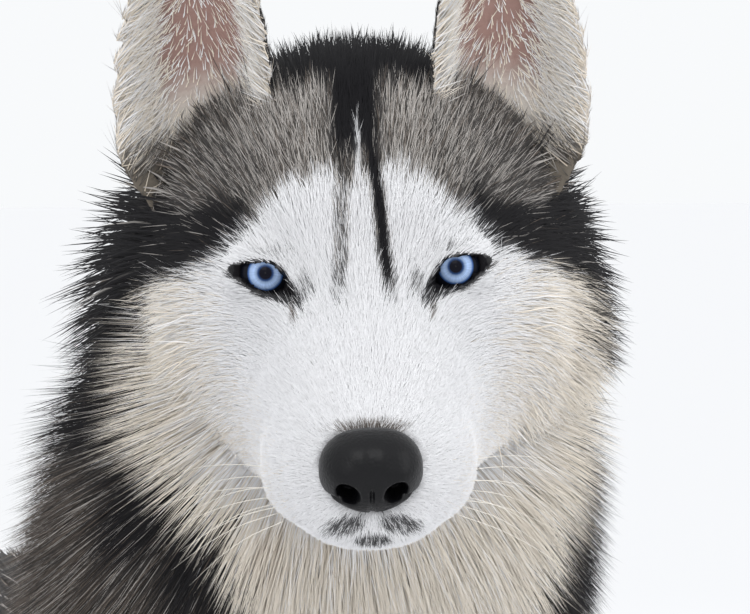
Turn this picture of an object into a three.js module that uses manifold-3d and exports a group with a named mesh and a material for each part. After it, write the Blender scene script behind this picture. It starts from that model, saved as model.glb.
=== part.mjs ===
// A life-size Siberian husky, standing square on a flat floor with its head turned to its right.
// Millimetres, +Z up. The dog faces -Y and its left side is +X.
// Every surface is the outline of the coat: short fur is inside it, long fur is built as locks.
import * as THREE from "three";
import { mergeVertices } from "three/addons/utils/BufferGeometryUtils.js";
import Module from "manifold-3d";

const wasm = await Module();
wasm.setup();

// Driving dimensions
const WITHERS = 578; // floor to the top of the coat over the shoulders
const BODY = 652; // front of the chest to the back of the thighs
const CHEST_HALF = 119; // half the width across the ribs, coat included
const ELBOW = 0.51 * WITHERS; // floor to the underside of the chest
const FORE_X = 83; // each foreleg's distance from the middle
const HIND_X = 82;
const FORE_Y = -0.26 * BODY; // where the forelegs stand
const HIND_Y = 0.44 * BODY; // where the hind paws stand
const EYE_GAP = 67; // between the middles of the eyes
const EYE_RADIUS = 10.6; // the ball of the eye
const EAR_ROOT = 33; // the ear starts this far above the eyes, sunk in the skull
const EAR_HEIGHT = 102; // from its sunk root to its tip
const COAT_NECK = 38; // depth of the ruff from skin to tips
const COAT_CHEEK = 30;
const COAT_THIGH = 26;
const COAT_TAIL = 34;
const CORE = 0.55; // share of a long coat's depth left out of the core under the locks
const GAP = 0.35; // left between pieces that touch
const FAR = 2000; // longer than the dog

// Where the head is carried: the point midway between the eyes, and the head's turn, nod and tilt
const HEAD_AT = new THREE.Vector3(-52, -415, 720);
const HEAD_TURN = -22;
const HEAD_NOD = 16;
const HEAD_TILT = -2;

const degrees = THREE.MathUtils.degToRad;
const headPose = new THREE.Matrix4()
  .makeTranslation(HEAD_AT)
  .multiply(new THREE.Matrix4().makeRotationZ(degrees(HEAD_TURN)))
  .multiply(new THREE.Matrix4().makeRotationX(degrees(HEAD_NOD)))
  .multiply(new THREE.Matrix4().makeRotationY(degrees(HEAD_TILT)));

const furWhite = new THREE.MeshStandardMaterial({ color: 0xe9e6e0, roughness: 0.9 });
const furGrey = new THREE.MeshStandardMaterial({ color: 0x57514f, roughness: 0.9 });
const furDark = new THREE.MeshStandardMaterial({ color: 0x2b2930, roughness: 0.9 });
const furCream = new THREE.MeshStandardMaterial({ color: 0xd9cfc0, roughness: 0.9 });
const noseLeather = new THREE.MeshStandardMaterial({ color: 0x23222b, roughness: 0.45 });
const eyeBlue = new THREE.MeshStandardMaterial({ color: 0x86a5d6, roughness: 0.08 });

// Repeatable random draws from 0 to 1 (mulberry32)
function draws(seed) {
  let state = seed;
  return () => {
    state = (state + 0x6d2b79f5) | 0;
    let mixed = Math.imul(state ^ (state >>> 15), 1 | state);
    mixed = (mixed + Math.imul(mixed ^ (mixed >>> 7), 61 | mixed)) ^ mixed;
    return ((mixed ^ (mixed >>> 14)) >>> 0) / 4294967296;
  };
}

// Smooth values through evenly spaced rows of numbers (Catmull-Rom), t from 0 to 1
function between(rows, t) {
  const last = rows.length - 1;
  const at = THREE.MathUtils.clamp(t, 0, 1) * last;
  const i = Math.min(Math.floor(at), last - 1);
  const s = at - i;
  const before = rows[Math.max(i - 1, 0)];
  const after = rows[Math.min(i + 2, last)];
  return rows[i].map((v, k) => {
    const next = rows[i + 1][k];
    const slope = 0.5 * (next - before[k]);
    const nextSlope = 0.5 * (after[k] - v);
    const s2 = s * s;
    const s3 = s2 * s;
    return (
      (2 * s3 - 3 * s2 + 1) * v +
      (s3 - 2 * s2 + s) * slope +
      (3 * s2 - 2 * s3) * next +
      (s3 - s2) * nextSlope
    );
  });
}

// A signed power, which squares off (under 1) or sharpens (over 1) a round section
const power = (v, p) => Math.sign(v) * Math.abs(v) ** p;

// A soft hump of height 1 that falls to nothing at the radius
function hump(distance, radius) {
  const s = Math.min(distance / radius, 1);
  return (1 - s * s) ** 2;
}

// Closed surface through rings of points, with a point in the middle of each end
function spindle(rings, start, end) {
  const around = rings[0].length;
  const points = [...rings.flat(), start, end].flatMap((point) => point.toArray());
  const first = rings.length * around;
  const faces = [];
  for (let j = 0; j < around; j++) {
    const k = (j + 1) % around;
    for (let i = 0; i < rings.length - 1; i++) {
      const [a, b, c, d] = [i * around + j, i * around + k, (i + 1) * around + k, (i + 1) * around + j];
      faces.push(a, b, c, a, c, d);
    }
    faces.push(first, k, j);
    faces.push(first + 1, first - around + j, first - around + k);
  }
  const geometry = new THREE.BufferGeometry();
  geometry.setAttribute("position", new THREE.Float32BufferAttribute(points, 3));
  geometry.setIndex(faces);
  return geometry;
}

const middleOf = (ring) =>
  ring.reduce((sum, point) => sum.add(point), new THREE.Vector3()).divideScalar(ring.length);

// Closed surface of surface(t, angle), which gives a point for t from 0 to 1
function skinned(surface, along, angles) {
  const rings = Array.from({ length: along + 1 }, (_, i) =>
    angles.map((angle) => surface(i / along, angle)),
  );
  return spindle(rings, middleOf(rings[0]), middleOf(rings[along]));
}

const evenAngles = (count) => Array.from({ length: count }, (_, i) => (i / count) * 2 * Math.PI);

// A three.js geometry as a solid with its faces pointing out
function solid(geometry) {
  const bare = geometry.clone();
  bare.deleteAttribute("normal");
  bare.deleteAttribute("uv");
  const merged = mergeVertices(bare, 1e-3);
  const triVerts = new Uint32Array(merged.index.array);
  const make = () =>
    new wasm.Manifold(
      new wasm.Mesh({ numProp: 3, vertProperties: merged.attributes.position.array, triVerts }),
    );
  let made = make();
  if (made.volume() < 0) {
    for (let i = 0; i < triVerts.length; i += 3) {
      [triVerts[i + 1], triVerts[i + 2]] = [triVerts[i + 2], triVerts[i + 1]];
    }
    made = make();
  }
  return made;
}

const joined = (solids) => wasm.Manifold.union(solids);

// The largest closed surface of a solid, as a named mesh
function sub(name, made, material) {
  const largest = made.decompose().sort((a, b) => b.volume() - a.volume())[0];
  const mesh = largest.getMesh();
  const geometry = new THREE.BufferGeometry();
  const positions = new Float32Array(mesh.numVert * 3);
  for (let i = 0; i < mesh.numVert; i++) {
    positions.set(mesh.vertProperties.subarray(i * mesh.numProp, i * mesh.numProp + 3), i * 3);
  }
  geometry.setAttribute("position", new THREE.BufferAttribute(positions, 3));
  geometry.setIndex(new THREE.BufferAttribute(mesh.triVerts, 1));
  geometry.computeVertexNormals();
  const shown = new THREE.Mesh(geometry, material);
  shown.name = name;
  return shown;
}

// Everything behind a plane, which faces along the normal; grow moves the plane outwards
function behind(point, normal, grow = 0) {
  const n = new THREE.Vector3(...normal).normalize();
  const box = new THREE.BoxGeometry(FAR, FAR, FAR);
  box.applyQuaternion(new THREE.Quaternion().setFromUnitVectors(new THREE.Vector3(0, 0, 1), n));
  box.translate(...new THREE.Vector3(...point).addScaledVector(n, grow - FAR / 2).toArray());
  return solid(box);
}

// Body parts carried along a path. Each row: x, y, z, half width, half depth in front, half depth behind.
// The ring lies square to the path; angle 0 is the front and a quarter turn is the dog's left.
function limb(rows) {
  const centre = (t) => new THREE.Vector3(...between(rows, t).slice(0, 3));
  return (t, angle, grow = 0) => {
    const [x, y, z, side, front, back] = between(rows, t);
    const along = centre(Math.min(t + 0.01, 1)).sub(centre(Math.max(t - 0.01, 0))).normalize();
    const left = new THREE.Vector3(1, 0, 0).addScaledVector(along, -along.x).normalize();
    const ahead = new THREE.Vector3().crossVectors(along, left).normalize();
    const c = Math.cos(angle);
    const depth = (c > 0 ? front : back) + grow;
    const endwards = t <= 0 ? -grow : t >= 1 ? grow : 0;
    return new THREE.Vector3(x, y, z)
      .addScaledVector(along, endwards)
      .addScaledVector(ahead, c * depth)
      .addScaledVector(left, Math.sin(angle) * (side + grow));
  };
}

const mirrored = (rows) => rows.map(([x, ...rest]) => [-x, ...rest]);
const deeper = (rows, by) =>
  rows.map(([x, y, z, side, front, back]) => [x, y, z, side - by, front - by, back - by]);

// Trunk. Each row: y, top, bottom, half width.
const BACK = WITHERS - 10;
const trunkRows = [
  [-0.488 * BODY, 448, 412, 20],
  [-0.462 * BODY, 492, 378, 52],
  [-0.407 * BODY, 530, 345, 86],
  [-0.33 * BODY, 562, 310, 107],
  [-0.23 * BODY, WITHERS, ELBOW - 3, 0.975 * CHEST_HALF],
  [-0.09 * BODY, BACK + 3, ELBOW - 5, CHEST_HALF],
  [0.06 * BODY, BACK, ELBOW + 10, 0.985 * CHEST_HALF],
  [0.215 * BODY, BACK - 1, ELBOW + 38, 0.92 * CHEST_HALF],
  [0.34 * BODY, BACK - 6, ELBOW + 68, 0.86 * CHEST_HALF],
  [0.437 * BODY, BACK - 30, ELBOW + 98, 0.7 * CHEST_HALF],
  [0.49 * BODY, BACK - 60, ELBOW + 125, 0.46 * CHEST_HALF],
  [0.512 * BODY, BACK - 88, ELBOW + 150, 0.16 * CHEST_HALF],
].map(([y, top, bottom, half]) => {
  const middle = (top + bottom) / 2;
  return [0, y, middle, half, middle - bottom, top - middle];
});

// Neck, from inside the head to inside the chest
const neckRows = [
  [-32, -352, 700, 60, 60, 60],
  [-25, -332, 672, 94, 82, 84],
  [-16, -302, 632, 108, 94, 96],
  [-9, -270, 586, 114, 101, 98],
  [-4, -244, 536, 116, 106, 96],
  [0, -224, 486, 112, 118, 86],
  [0, -204, 436, 92, 112, 62],
];

// Foreleg, from the shoulder to the wrist and pastern
const foreRows = [
  [60, FORE_Y - 48, 455, 40, 52, 52],
  [72, FORE_Y - 38, 400, 46, 60, 62],
  [80, FORE_Y - 6, 340, 41, 48, 54],
  [FORE_X + 1, FORE_Y + 12, ELBOW - 12, 34, 38, 42],
  [FORE_X, FORE_Y + 10, 228, 28.5, 30, 32],
  [FORE_X, FORE_Y + 5, 168, 25, 26, 27.5],
  [FORE_X, FORE_Y + 2, 120, 25.5, 26.5, 26.5],
  [FORE_X, FORE_Y - 5, 78, 23.5, 24, 24],
  [FORE_X, FORE_Y - 15, 42, 26, 29, 27],
  [FORE_X, FORE_Y - 22, 16, 24, 26, 22],
];

// Hind leg, from the hip over the knee and the hock to the pastern
const hindRows = [
  [50, HIND_Y - 62, 492, 38, 62, 60],
  [66, HIND_Y - 66, 436, 50, 88, 80],
  [76, HIND_Y - 70, 376, 50, 90, 84],
  [HIND_X, HIND_Y - 72, 318, 42, 66, 70],
  [HIND_X + 2, HIND_Y - 40, 262, 33, 44, 46],
  [HIND_X + 1, HIND_Y - 4, 212, 26, 31, 34],
  [HIND_X, HIND_Y + 18, 166, 23.5, 26, 29],
  [HIND_X, HIND_Y + 20, 120, 22, 23, 24],
  [HIND_X, HIND_Y + 12, 76, 22, 23, 23],
  [HIND_X, HIND_Y + 2, 42, 25, 28, 26],
  [HIND_X, HIND_Y - 8, 16, 23, 25, 21],
];

// Tail, hanging in a shallow sickle; square sections to its path
const tailRows = [
  [0, 300, 520, 20, 20, 20],
  [0, 336, 498, 31, 30, 30],
  [0, 366, 455, 41, 40, 40],
  [0, 380, 400, 49, 48, 48],
  [0, 386, 342, 52, 52, 52],
  [0, 392, 284, 48, 50, 50],
  [0, 404, 232, 38, 40, 40],
  [0, 424, 192, 22, 24, 24],
  [0, 440, 172, 3, 3, 3],
];

// Head, in its own frame: x to the dog's left, y backwards, z up, from midway between the eyes.
// Each row: how far in front of the eyes, top, bottom, half width, height of the widest level.
const HEAD_BACK = 126;
const NOSE_REACH = 96; // tip of the nose in front of the eyes
const headRows = [
  [NOSE_REACH - 4, -52, -62, 3, -57],
  [NOSE_REACH - 6, -45, -68, 14, -57],
  [NOSE_REACH - 12, -33, -73, 24, -55],
  [NOSE_REACH - 22, -24, -76, 31, -53],
  [58, -17, -79, 35.5, -51],
  [41, -10, -82, 38.5, -50],
  [24, -2, -84, 42.5, -48],
  [9, 11, -87, 49, -47],
  [-6, 32, -90, 59, -45],
  [-24, 52, -94, 71, -45],
  [-46, 64, -97, 83, -45],
  [-70, 69, -97, 92, -44],
  [-94, 66, -92, 93, -41],
  [-114, 50, -80, 80, -36],
  [-HEAD_BACK, 22, -56, 50, -26],
];
const LIP_LEVEL = 0.5; // share of the way from the widest level to the chin
const LIP_POWER = 0.86;
const LIP_ANGLE = Math.acos(-(LIP_LEVEL ** (1 / LIP_POWER)));
const MOUTH_CORNER = 24; // how far in front of the eyes the mouth ends

// Soft forms laid over the rings: place, radius and height of each, the same on both sides
const faceForms = [
  { x: 23, ahead: -4, up: 17, radius: 22, height: 4.5 }, // brow
  { x: 54, ahead: -16, up: -26, radius: 30, height: 5 }, // cheekbone
  { x: 15, ahead: 24, up: -2, radius: 20, height: -3.5 }, // hollow beside the stop
  { x: 38, ahead: 14, up: -22, radius: 22, height: -3 }, // hollow under the eye
  { x: 27, ahead: 62, up: -50, radius: 24, height: 2.4 }, // whisker pad
  { x: 0, ahead: -22, up: 50, radius: 26, height: -4 }, // furrow of the forehead
];

function headPoint(t, angle, grow = 0) {
  const [ahead, top, bottom, half, middle] = between(headRows, t);
  const c = Math.cos(angle);
  const s = Math.sin(angle);
  const place = new THREE.Vector3(
    power(s, 0.9) * (half + grow),
    -ahead - grow * Math.cos(Math.PI * Math.min(t * 12, 1, (1 - t) * 12) / 2) * (t < 0.5 ? 1 : -1),
    middle + power(c, LIP_POWER) * ((c > 0 ? top - middle : middle - bottom) + grow),
  );
  const out = new THREE.Vector3(place.x, 0, place.z - middle).normalize();
  let height = 0;
  for (const form of faceForms) {
    const away = Math.hypot(Math.abs(place.x) - form.x, ahead - form.ahead, place.z - form.up);
    height += form.height * hump(away, form.radius);
  }
  const open = THREE.MathUtils.smoothstep(ahead, MOUTH_CORNER, MOUTH_CORNER + 10);
  const turn = Math.acos(THREE.MathUtils.clamp(c, -1, 1));
  height -= open * 2.6 * hump(Math.abs(turn - LIP_ANGLE), degrees(7));
  if (turn > LIP_ANGLE) height -= open * 2.2 * Math.min((turn - LIP_ANGLE) / degrees(7), 1);
  return place.addScaledVector(out, height).applyMatrix4(headPose);
}

const halfAngles = [14, 27, 40, 53, 66, 79, 92, 103];
const lipDegrees = THREE.MathUtils.radToDeg(LIP_ANGLE);
const headHalf = [...halfAngles, lipDegrees - 7, lipDegrees, lipDegrees + 7, 136, 150, 165];
const headAngles = [0, ...headHalf, 180, ...headHalf.map((a) => 360 - a).reverse()].map(degrees);

// A lock of long hair: flat and tapered, it starts under a surface, follows it and rises to its tip.
// reach and swing are how far it runs in the surface's t and angle.
const LOCK_SINK = 7;
const LOCK_STATIONS = [
  { s: 0, width: 0.75, thick: 1, height: 0 },
  { s: 0.34, width: 1, thick: 1, height: 0.42 },
  { s: 0.7, width: 0.66, thick: 0.7, height: 0.84 },
];
function lock(surface, { t, angle, reach, swing, width, thick, rise }, grow = 0) {
  const frameAt = (s) => {
    const [u, v] = [Math.min(t + reach * s, 0.985), angle + swing * s];
    const along = surface(u + 0.01, v).sub(surface(u - 0.01, v)).normalize();
    const across = surface(u, v + 0.04).sub(surface(u, v - 0.04)).normalize();
    return { place: surface(u, v), along, across, out: new THREE.Vector3().crossVectors(along, across) };
  };
  const ringAt = (station) => {
    const { place, across, out } = frameAt(station.s);
    place.addScaledVector(out, station.height * (rise + LOCK_SINK) - LOCK_SINK);
    return evenAngles(4).map((a) =>
      place
        .clone()
        .addScaledVector(across, Math.cos(a) * (station.width * width + grow))
        .addScaledVector(out, Math.sin(a) * (station.thick * thick + grow)),
    );
  };
  const rings = LOCK_STATIONS.map(ringAt);
  const tip = frameAt(1);
  tip.place.addScaledVector(tip.out, rise).addScaledVector(tip.along, 2 * grow);
  return solid(spindle(rings, middleOf(rings[0]), tip.place));
}

// Staggered rows of locks over part of a surface, each a little different from the next
function locksOver(surface, seed, { from, to, rows, around, middle, spread, ...size }) {
  const draw = draws(seed);
  const vary = (share) => 1 + share * (2 * draw() - 1);
  return Array.from({ length: rows * around }, (_, i) => {
    const [row, place] = [Math.floor(i / around), i % around];
    const full = spread > 6.2;
    const step = (2 * spread) / (full ? 2 * around : 2 * Math.max(around - 1, 1));
    const stagger = full ? (row % 2) * 0.5 : (row % 2) * 0.5 - 0.25;
    return {
      t: from + ((to - from) * row) / Math.max(rows - 1, 1) + 0.012 * (draw() - 0.5),
      angle: middle - spread / 2 + step * (place + stagger + 0.3 * (draw() - 0.5)),
      reach: size.reach * vary(0.2),
      swing: size.swing * (2 * draw() - 1),
      width: size.width * vary(0.2),
      thick: size.thick,
      rise: size.rise * vary(0.18),
    };
  });
}

const sides = [
  ["left", 1],
  ["right", -1],
];
const onSide = (rows, sign) => (sign > 0 ? rows : mirrored(rows));
const headPlace = (x, forward, up) => new THREE.Vector3(x, -forward, up);

// Each body part's own closed form, at its size or grown by the gap
const torsoSurface = limb(trunkRows);
const neckSurface = limb(deeper(neckRows, CORE * COAT_NECK));
const tailSurface = limb(deeper(tailRows.slice(0, -1), CORE * COAT_TAIL).concat([tailRows.at(-1)]));
const torsoForm = (grow = 0) => solid(skinned((t, a) => torsoSurface(t, a, grow), 15, evenAngles(20)));
const neckForm = (grow = 0) => solid(skinned((t, a) => neckSurface(t, a, grow), 9, evenAngles(20)));
const headForm = (grow = 0) => solid(skinned((t, a) => headPoint(t, a, grow), 31, headAngles));
const tailForm = (grow = 0) => solid(skinned((t, a) => tailSurface(t, a, grow), 13, evenAngles(10)));
const foreSurface = (sign) => limb(onSide(foreRows, sign));
const hindSurface = (sign) => limb(onSide(hindRows, sign));
const foreForm = (sign, grow = 0) =>
  solid(skinned((t, a) => foreSurface(sign)(t, a, grow), 11, evenAngles(11)));
const hindForm = (sign, grow = 0) =>
  solid(skinned((t, a) => hindSurface(sign)(t, a, grow), 14, evenAngles(11)));

// Paw: a low rounded foot, four toes that spread a little, and their claws
const TOES = [
  { across: -20, ahead: 0.5, turn: 12 },
  { across: -7.5, ahead: 0.72, turn: 4 },
  { across: 7.5, ahead: 0.72, turn: -4 },
  { across: 20, ahead: 0.5, turn: -12 },
];
function paw(x, y, length) {
  const half = 0.5 * length;
  const body = new THREE.SphereGeometry(1, 9, 7).scale(27, half, 23).translate(x, y, 19);
  const pieces = [solid(body)];
  for (const { across, ahead, turn } of TOES) {
    const toe = new THREE.SphereGeometry(1, 6, 5).scale(9.8, 20, 13.8);
    toe.rotateX(degrees(14)).rotateZ(degrees(turn)).translate(x + across, y - ahead * half, 12.5);
    const claw = new THREE.ConeGeometry(3, 17, 4).scale(0.8, 1, 1.2).rotateX(degrees(104));
    claw.rotateZ(degrees(turn)).translate(x + 1.12 * across, y - ahead * half - 23, 8.5);
    pieces.push(solid(toe), solid(claw));
  }
  return joined(pieces);
}

// Cheek fur stands away from the sides of the head; the ruff is the neck's
const CHEEK_LOCKS = [1, -1].flatMap((sign) =>
  locksOver(headPoint, 11 + sign, {
    from: 0.67, to: 0.8, rows: 3, around: 3, middle: sign * degrees(110), spread: degrees(56),
    reach: 0.16, swing: 0.12, width: 15, thick: 3.8, rise: 0.6 * COAT_CHEEK,
  }),
);
const RUFF_LOCKS = locksOver(neckSurface, 5, {
  from: 0.16, to: 0.82, rows: 5, around: 9, middle: 0, spread: 2 * Math.PI,
  reach: 0.19, swing: 0.1, width: 23, thick: 4.8, rise: CORE * COAT_NECK,
});
// The forechest's hair runs back between the forelegs
const CHEST_LOCKS = locksOver(torsoSurface, 23, {
  from: 0.1, to: 0.22, rows: 2, around: 4, middle: 0, spread: degrees(110),
  reach: 0.1, swing: 0.06, width: 19, thick: 4.8, rise: 9,
});
const TAIL_LOCKS = locksOver(tailSurface, 3, {
  from: 0.2, to: 0.76, rows: 5, around: 5, middle: 0, spread: 2 * Math.PI,
  reach: 0.17, swing: 0.12, width: 19, thick: 4.2, rise: 0.9 * CORE * COAT_TAIL,
});
const breeches = (sign) =>
  locksOver(hindSurface(sign), 17 + sign, {
    from: 0.16, to: 0.36, rows: 3, around: 3, middle: Math.PI, spread: degrees(84),
    reach: 0.15, swing: 0.1, width: 14, thick: 4.2, rise: 0.6 * COAT_THIGH,
  });
const grownLocks = (surface, locks, grow) => locks.map((each) => lock(surface, each, grow));

// Eye: a ball behind lids, which are a raised rim round an almond opening
const eyeCentre = (sign) => headPlace((sign * EYE_GAP) / 2, -4.2, 0);
const ball = (sign, radius, detail) =>
  solid(
    new THREE.SphereGeometry(radius, detail, detail / 2)
      .rotateX(Math.PI / 2)
      .translate(...eyeCentre(sign).toArray())
      .applyMatrix4(headPose),
  );
function lidOpening(sign) {
  const almond = new THREE.Shape();
  almond.moveTo(-12, 0).quadraticCurveTo(-2, 10.8, 12, 0.5).quadraticCurveTo(1, -12, -12, 0);
  const cutter = new THREE.ExtrudeGeometry(almond, { depth: 30, bevelEnabled: false, curveSegments: 5 });
  cutter.rotateX(Math.PI / 2); // faces the front
  cutter.scale(sign, 1, 1);
  cutter.rotateY(degrees(-sign * 27)); // the outer corner sits higher
  cutter.rotateZ(degrees(sign * 16)); // looks a little outwards
  cutter.translate(...eyeCentre(sign).toArray()).applyMatrix4(headPose);
  return solid(cutter);
}

// Nose leather: a rounded pad with two nostrils and a groove under its middle
const NOSE_AT = headPlace(0, NOSE_REACH - 9, -40);
function nosePad(grow = 0) {
  const pad = new THREE.SphereGeometry(1, 14, 9);
  const place = pad.attributes.position;
  for (let i = 0; i < place.count; i++) {
    const [x, y, z] = [place.getX(i), place.getY(i), place.getZ(i)];
    const wide = z > 0 ? 1 : 1 - 0.42 * z * z; // narrower under the nostrils
    place.setXYZ(i, power(x, 0.8) * wide * (17.5 + grow), y * (12 + grow), power(z, 0.85) * (14.2 + grow));
  }
  return solid(pad.rotateX(degrees(8)).translate(...NOSE_AT.toArray()).applyMatrix4(headPose));
}
const nostrils = [1, -1].map((sign) => {
  const hole = new THREE.SphereGeometry(1, 10, 8).scale(4.6, 7, 3.2).rotateY(degrees(sign * 24));
  hole.translate(...NOSE_AT.clone().add(headPlace(sign * 9.2, 12, -1.5)).toArray());
  return solid(hole.applyMatrix4(headPose));
});
const philtrum = solid(
  new THREE.BoxGeometry(1.6, 6, 14)
    .rotateY(Math.PI)
    .translate(...NOSE_AT.clone().add(headPlace(0, 13, -9)).toArray())
    .applyMatrix4(headPose),
);

// Ear: a cupped leaf that stands up from the corner of the skull and faces forwards.
// Each row: out from the middle, behind the eyes, up, half width, depth of the cup, half thickness.
const earRows = [
  [54, 66, EAR_ROOT, 32, 15, 6.5],
  [55.5, 68, EAR_ROOT + 18, 33, 15, 5],
  [56, 70, EAR_ROOT + 35, 31.5, 13, 4],
  [55.8, 72, EAR_ROOT + 51, 28, 10.5, 3.5],
  [54.8, 74, EAR_ROOT + 66, 23.5, 7.5, 3.1],
  [53, 76, EAR_ROOT + 80, 17.5, 4.8, 2.7],
  [51.5, 77, EAR_ROOT + 92, 11, 2.4, 2.2],
  [50.5, 78, EAR_ROOT + EAR_HEIGHT, 4, 0.5, 1.2],
];
const EAR_FACING = degrees(20); // the cup turns outwards
function earForm(sign, grow = 0) {
  const surface = (t, angle) => {
    const [x, back, up, half, cup, thick] = between(earRows, t);
    const [s, c] = [Math.sin(angle), Math.cos(angle)];
    const across = s * (half + grow);
    const deep = cup * (1 - 1.6 * s * s) + c * (thick + grow);
    const lean = degrees(22) * (1 - t); // the base runs down towards the outside
    return new THREE.Vector3(
      sign * (x + across * Math.cos(EAR_FACING) + deep * Math.sin(-EAR_FACING)),
      back + deep * Math.cos(EAR_FACING) + across * Math.sin(EAR_FACING),
      up - across * Math.sin(lean),
    ).applyMatrix4(headPose);
  };
  return solid(skinned(surface, 10, evenAngles(14)));
}

const dog = new THREE.Group();
const floor = behind([0, 0, 0], [0, 0, -1]);
const above = (z, shift) => behind([0, 0, z], [0, 0, -1], -shift);
const below = (z, shift) => behind([0, 0, z], [0, 0, 1], -shift);
const HALF_GAP = GAP / 2;

// Head with its cheek fur, lids and mouth line; eyes, nose and ears are set into it
const cheeks = joined(grownLocks(headPoint, CHEEK_LOCKS, 0));
let head = joined([headForm(), cheeks, ball(1, 13.2, 14), ball(-1, 13.2, 14)]);
head = head.subtract(nosePad(GAP));
for (const [side, sign] of sides) {
  head = head.subtract(lidOpening(sign)).subtract(ball(sign, EYE_RADIUS + GAP, 14));
  dog.add(sub("eye_" + side, ball(sign, EYE_RADIUS, 14), eyeBlue));
  dog.add(sub("ear_" + side, earForm(sign).subtract(headForm(GAP)), furCream));
}
dog.add(sub("head", head, furWhite));
dog.add(sub("nose", joined([nosePad()]).subtract(joined([...nostrils, philtrum])), noseLeather));

// Neck with the ruff, which hangs over the chest and stops at the head's own fur
const earsGrown = joined([earForm(1, GAP), earForm(-1, GAP)]);
const headGrown = joined([headForm(GAP), ...grownLocks(headPoint, CHEEK_LOCKS, GAP), earsGrown]);
const forelegsGrown = joined([foreForm(1, GAP), foreForm(-1, GAP)]);
const ruff = joined(grownLocks(neckSurface, RUFF_LOCKS, 0)).subtract(torsoForm(GAP));
const neck = joined([neckForm(), ruff.subtract(forelegsGrown)]).subtract(headGrown);
dog.add(sub("neck", neck, furDark));

// Legs: the paws part from them just over the floor
const tailGrown = joined([tailForm(GAP), ...grownLocks(tailSurface, TAIL_LOCKS, GAP)]);
const PAW_TOP = 50;
const ruffGrown = joined(grownLocks(neckSurface, RUFF_LOCKS, GAP));
const chest = joined(grownLocks(torsoSurface, CHEST_LOCKS, 0)).subtract(ruffGrown);
let torso = joined([torsoForm(), chest]).subtract(neckForm(GAP)).subtract(forelegsGrown);
for (const [side, sign] of sides) {
  const fore = joined([foreForm(sign), paw(sign * FORE_X, FORE_Y - 28, 78)]).intersect(floor);
  dog.add(sub("foreleg_" + side, fore.intersect(above(PAW_TOP, HALF_GAP)).subtract(neckForm(GAP)), furWhite));
  dog.add(sub("forepaw_" + side, fore.intersect(below(PAW_TOP, HALF_GAP)), furWhite));

  const surface = hindSurface(sign);
  const fur = joined(grownLocks(surface, breeches(sign), 0)).subtract(torsoForm(GAP)).subtract(tailGrown);
  const hindpaw = paw(sign * HIND_X, HIND_Y - 14, 72);
  const hind = joined([hindForm(sign), fur, hindpaw]).intersect(floor);
  const knee = [[0, HIND_Y - 52, 268], [0, 0.55, -0.83]];
  const kneeBack = [knee[0], knee[1].map((v) => -v)];
  dog.add(sub("thigh_" + side, hind.intersect(behind(...knee, -HALF_GAP)), furGrey));
  const lower = hind.intersect(behind(...kneeBack, -HALF_GAP));
  dog.add(sub("shank_" + side, lower.intersect(above(PAW_TOP, HALF_GAP)), furWhite));
  dog.add(sub("hindpaw_" + side, lower.intersect(below(PAW_TOP, HALF_GAP)), furWhite));
  torso = torso.subtract(hindForm(sign, GAP));
}
dog.add(sub("torso", torso.subtract(tailForm(GAP)), furGrey));

// Tail with its brush, in two parts
const tail = joined([tailForm(), joined(grownLocks(tailSurface, TAIL_LOCKS, 0)).subtract(torsoForm(GAP))]);
const tailCut = [[0, 386, 330], [0, 0.1, -0.99]];
const tailCutBack = [tailCut[0], tailCut[1].map((v) => -v)];
dog.add(sub("tail_base", tail.intersect(behind(...tailCut, -HALF_GAP)), furDark));
dog.add(sub("tail_tip", tail.intersect(behind(...tailCutBack, -HALF_GAP)), furDark));

// The row's origin is under the middle of the whole
const bounds = new THREE.Box3().setFromObject(dog);
dog.position.set(-(bounds.min.x + bounds.max.x) / 2, -(bounds.min.y + bounds.max.y) / 2, 0);

export default dog;
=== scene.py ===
"""Siberian husky, standing: skin, coat, eyes, nose, claws, stage and camera, in the frame of the solids.

Surfaces are worked out with numpy in millimetres and stored in metres.
"""
import math

import bmesh
import bpy
import numpy as np
from bpy.props import FloatProperty, FloatVectorProperty, IntProperty, PointerProperty
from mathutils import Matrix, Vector


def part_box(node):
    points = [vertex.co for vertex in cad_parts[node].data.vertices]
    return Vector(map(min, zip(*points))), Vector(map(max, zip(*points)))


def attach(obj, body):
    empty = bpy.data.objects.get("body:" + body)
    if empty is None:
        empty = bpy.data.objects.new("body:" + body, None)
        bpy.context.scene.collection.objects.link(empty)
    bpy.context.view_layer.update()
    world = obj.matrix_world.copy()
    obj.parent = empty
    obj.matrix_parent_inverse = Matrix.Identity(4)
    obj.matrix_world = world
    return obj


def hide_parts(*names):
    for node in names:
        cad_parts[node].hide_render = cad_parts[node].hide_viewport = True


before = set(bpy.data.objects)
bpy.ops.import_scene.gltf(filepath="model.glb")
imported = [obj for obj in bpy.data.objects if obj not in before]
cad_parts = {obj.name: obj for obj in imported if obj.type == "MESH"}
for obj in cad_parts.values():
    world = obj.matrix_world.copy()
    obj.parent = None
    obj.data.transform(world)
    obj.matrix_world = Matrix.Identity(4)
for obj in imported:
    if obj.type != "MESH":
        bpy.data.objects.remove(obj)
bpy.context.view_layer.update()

bl_info = {
    "name": "Husky Dresser",
    "version": (1, 0, 0),
    "blender": (4, 5, 0),
    "location": "3D View > Sidebar > Husky",
    "description": "Builds the skin, coat, face and stage of a standing husky",
    "category": "Object",
}

MM = 0.001
FLESH = [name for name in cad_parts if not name.startswith(("eye", "nose"))]
LEFT, RIGHT = 1, -1

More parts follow.
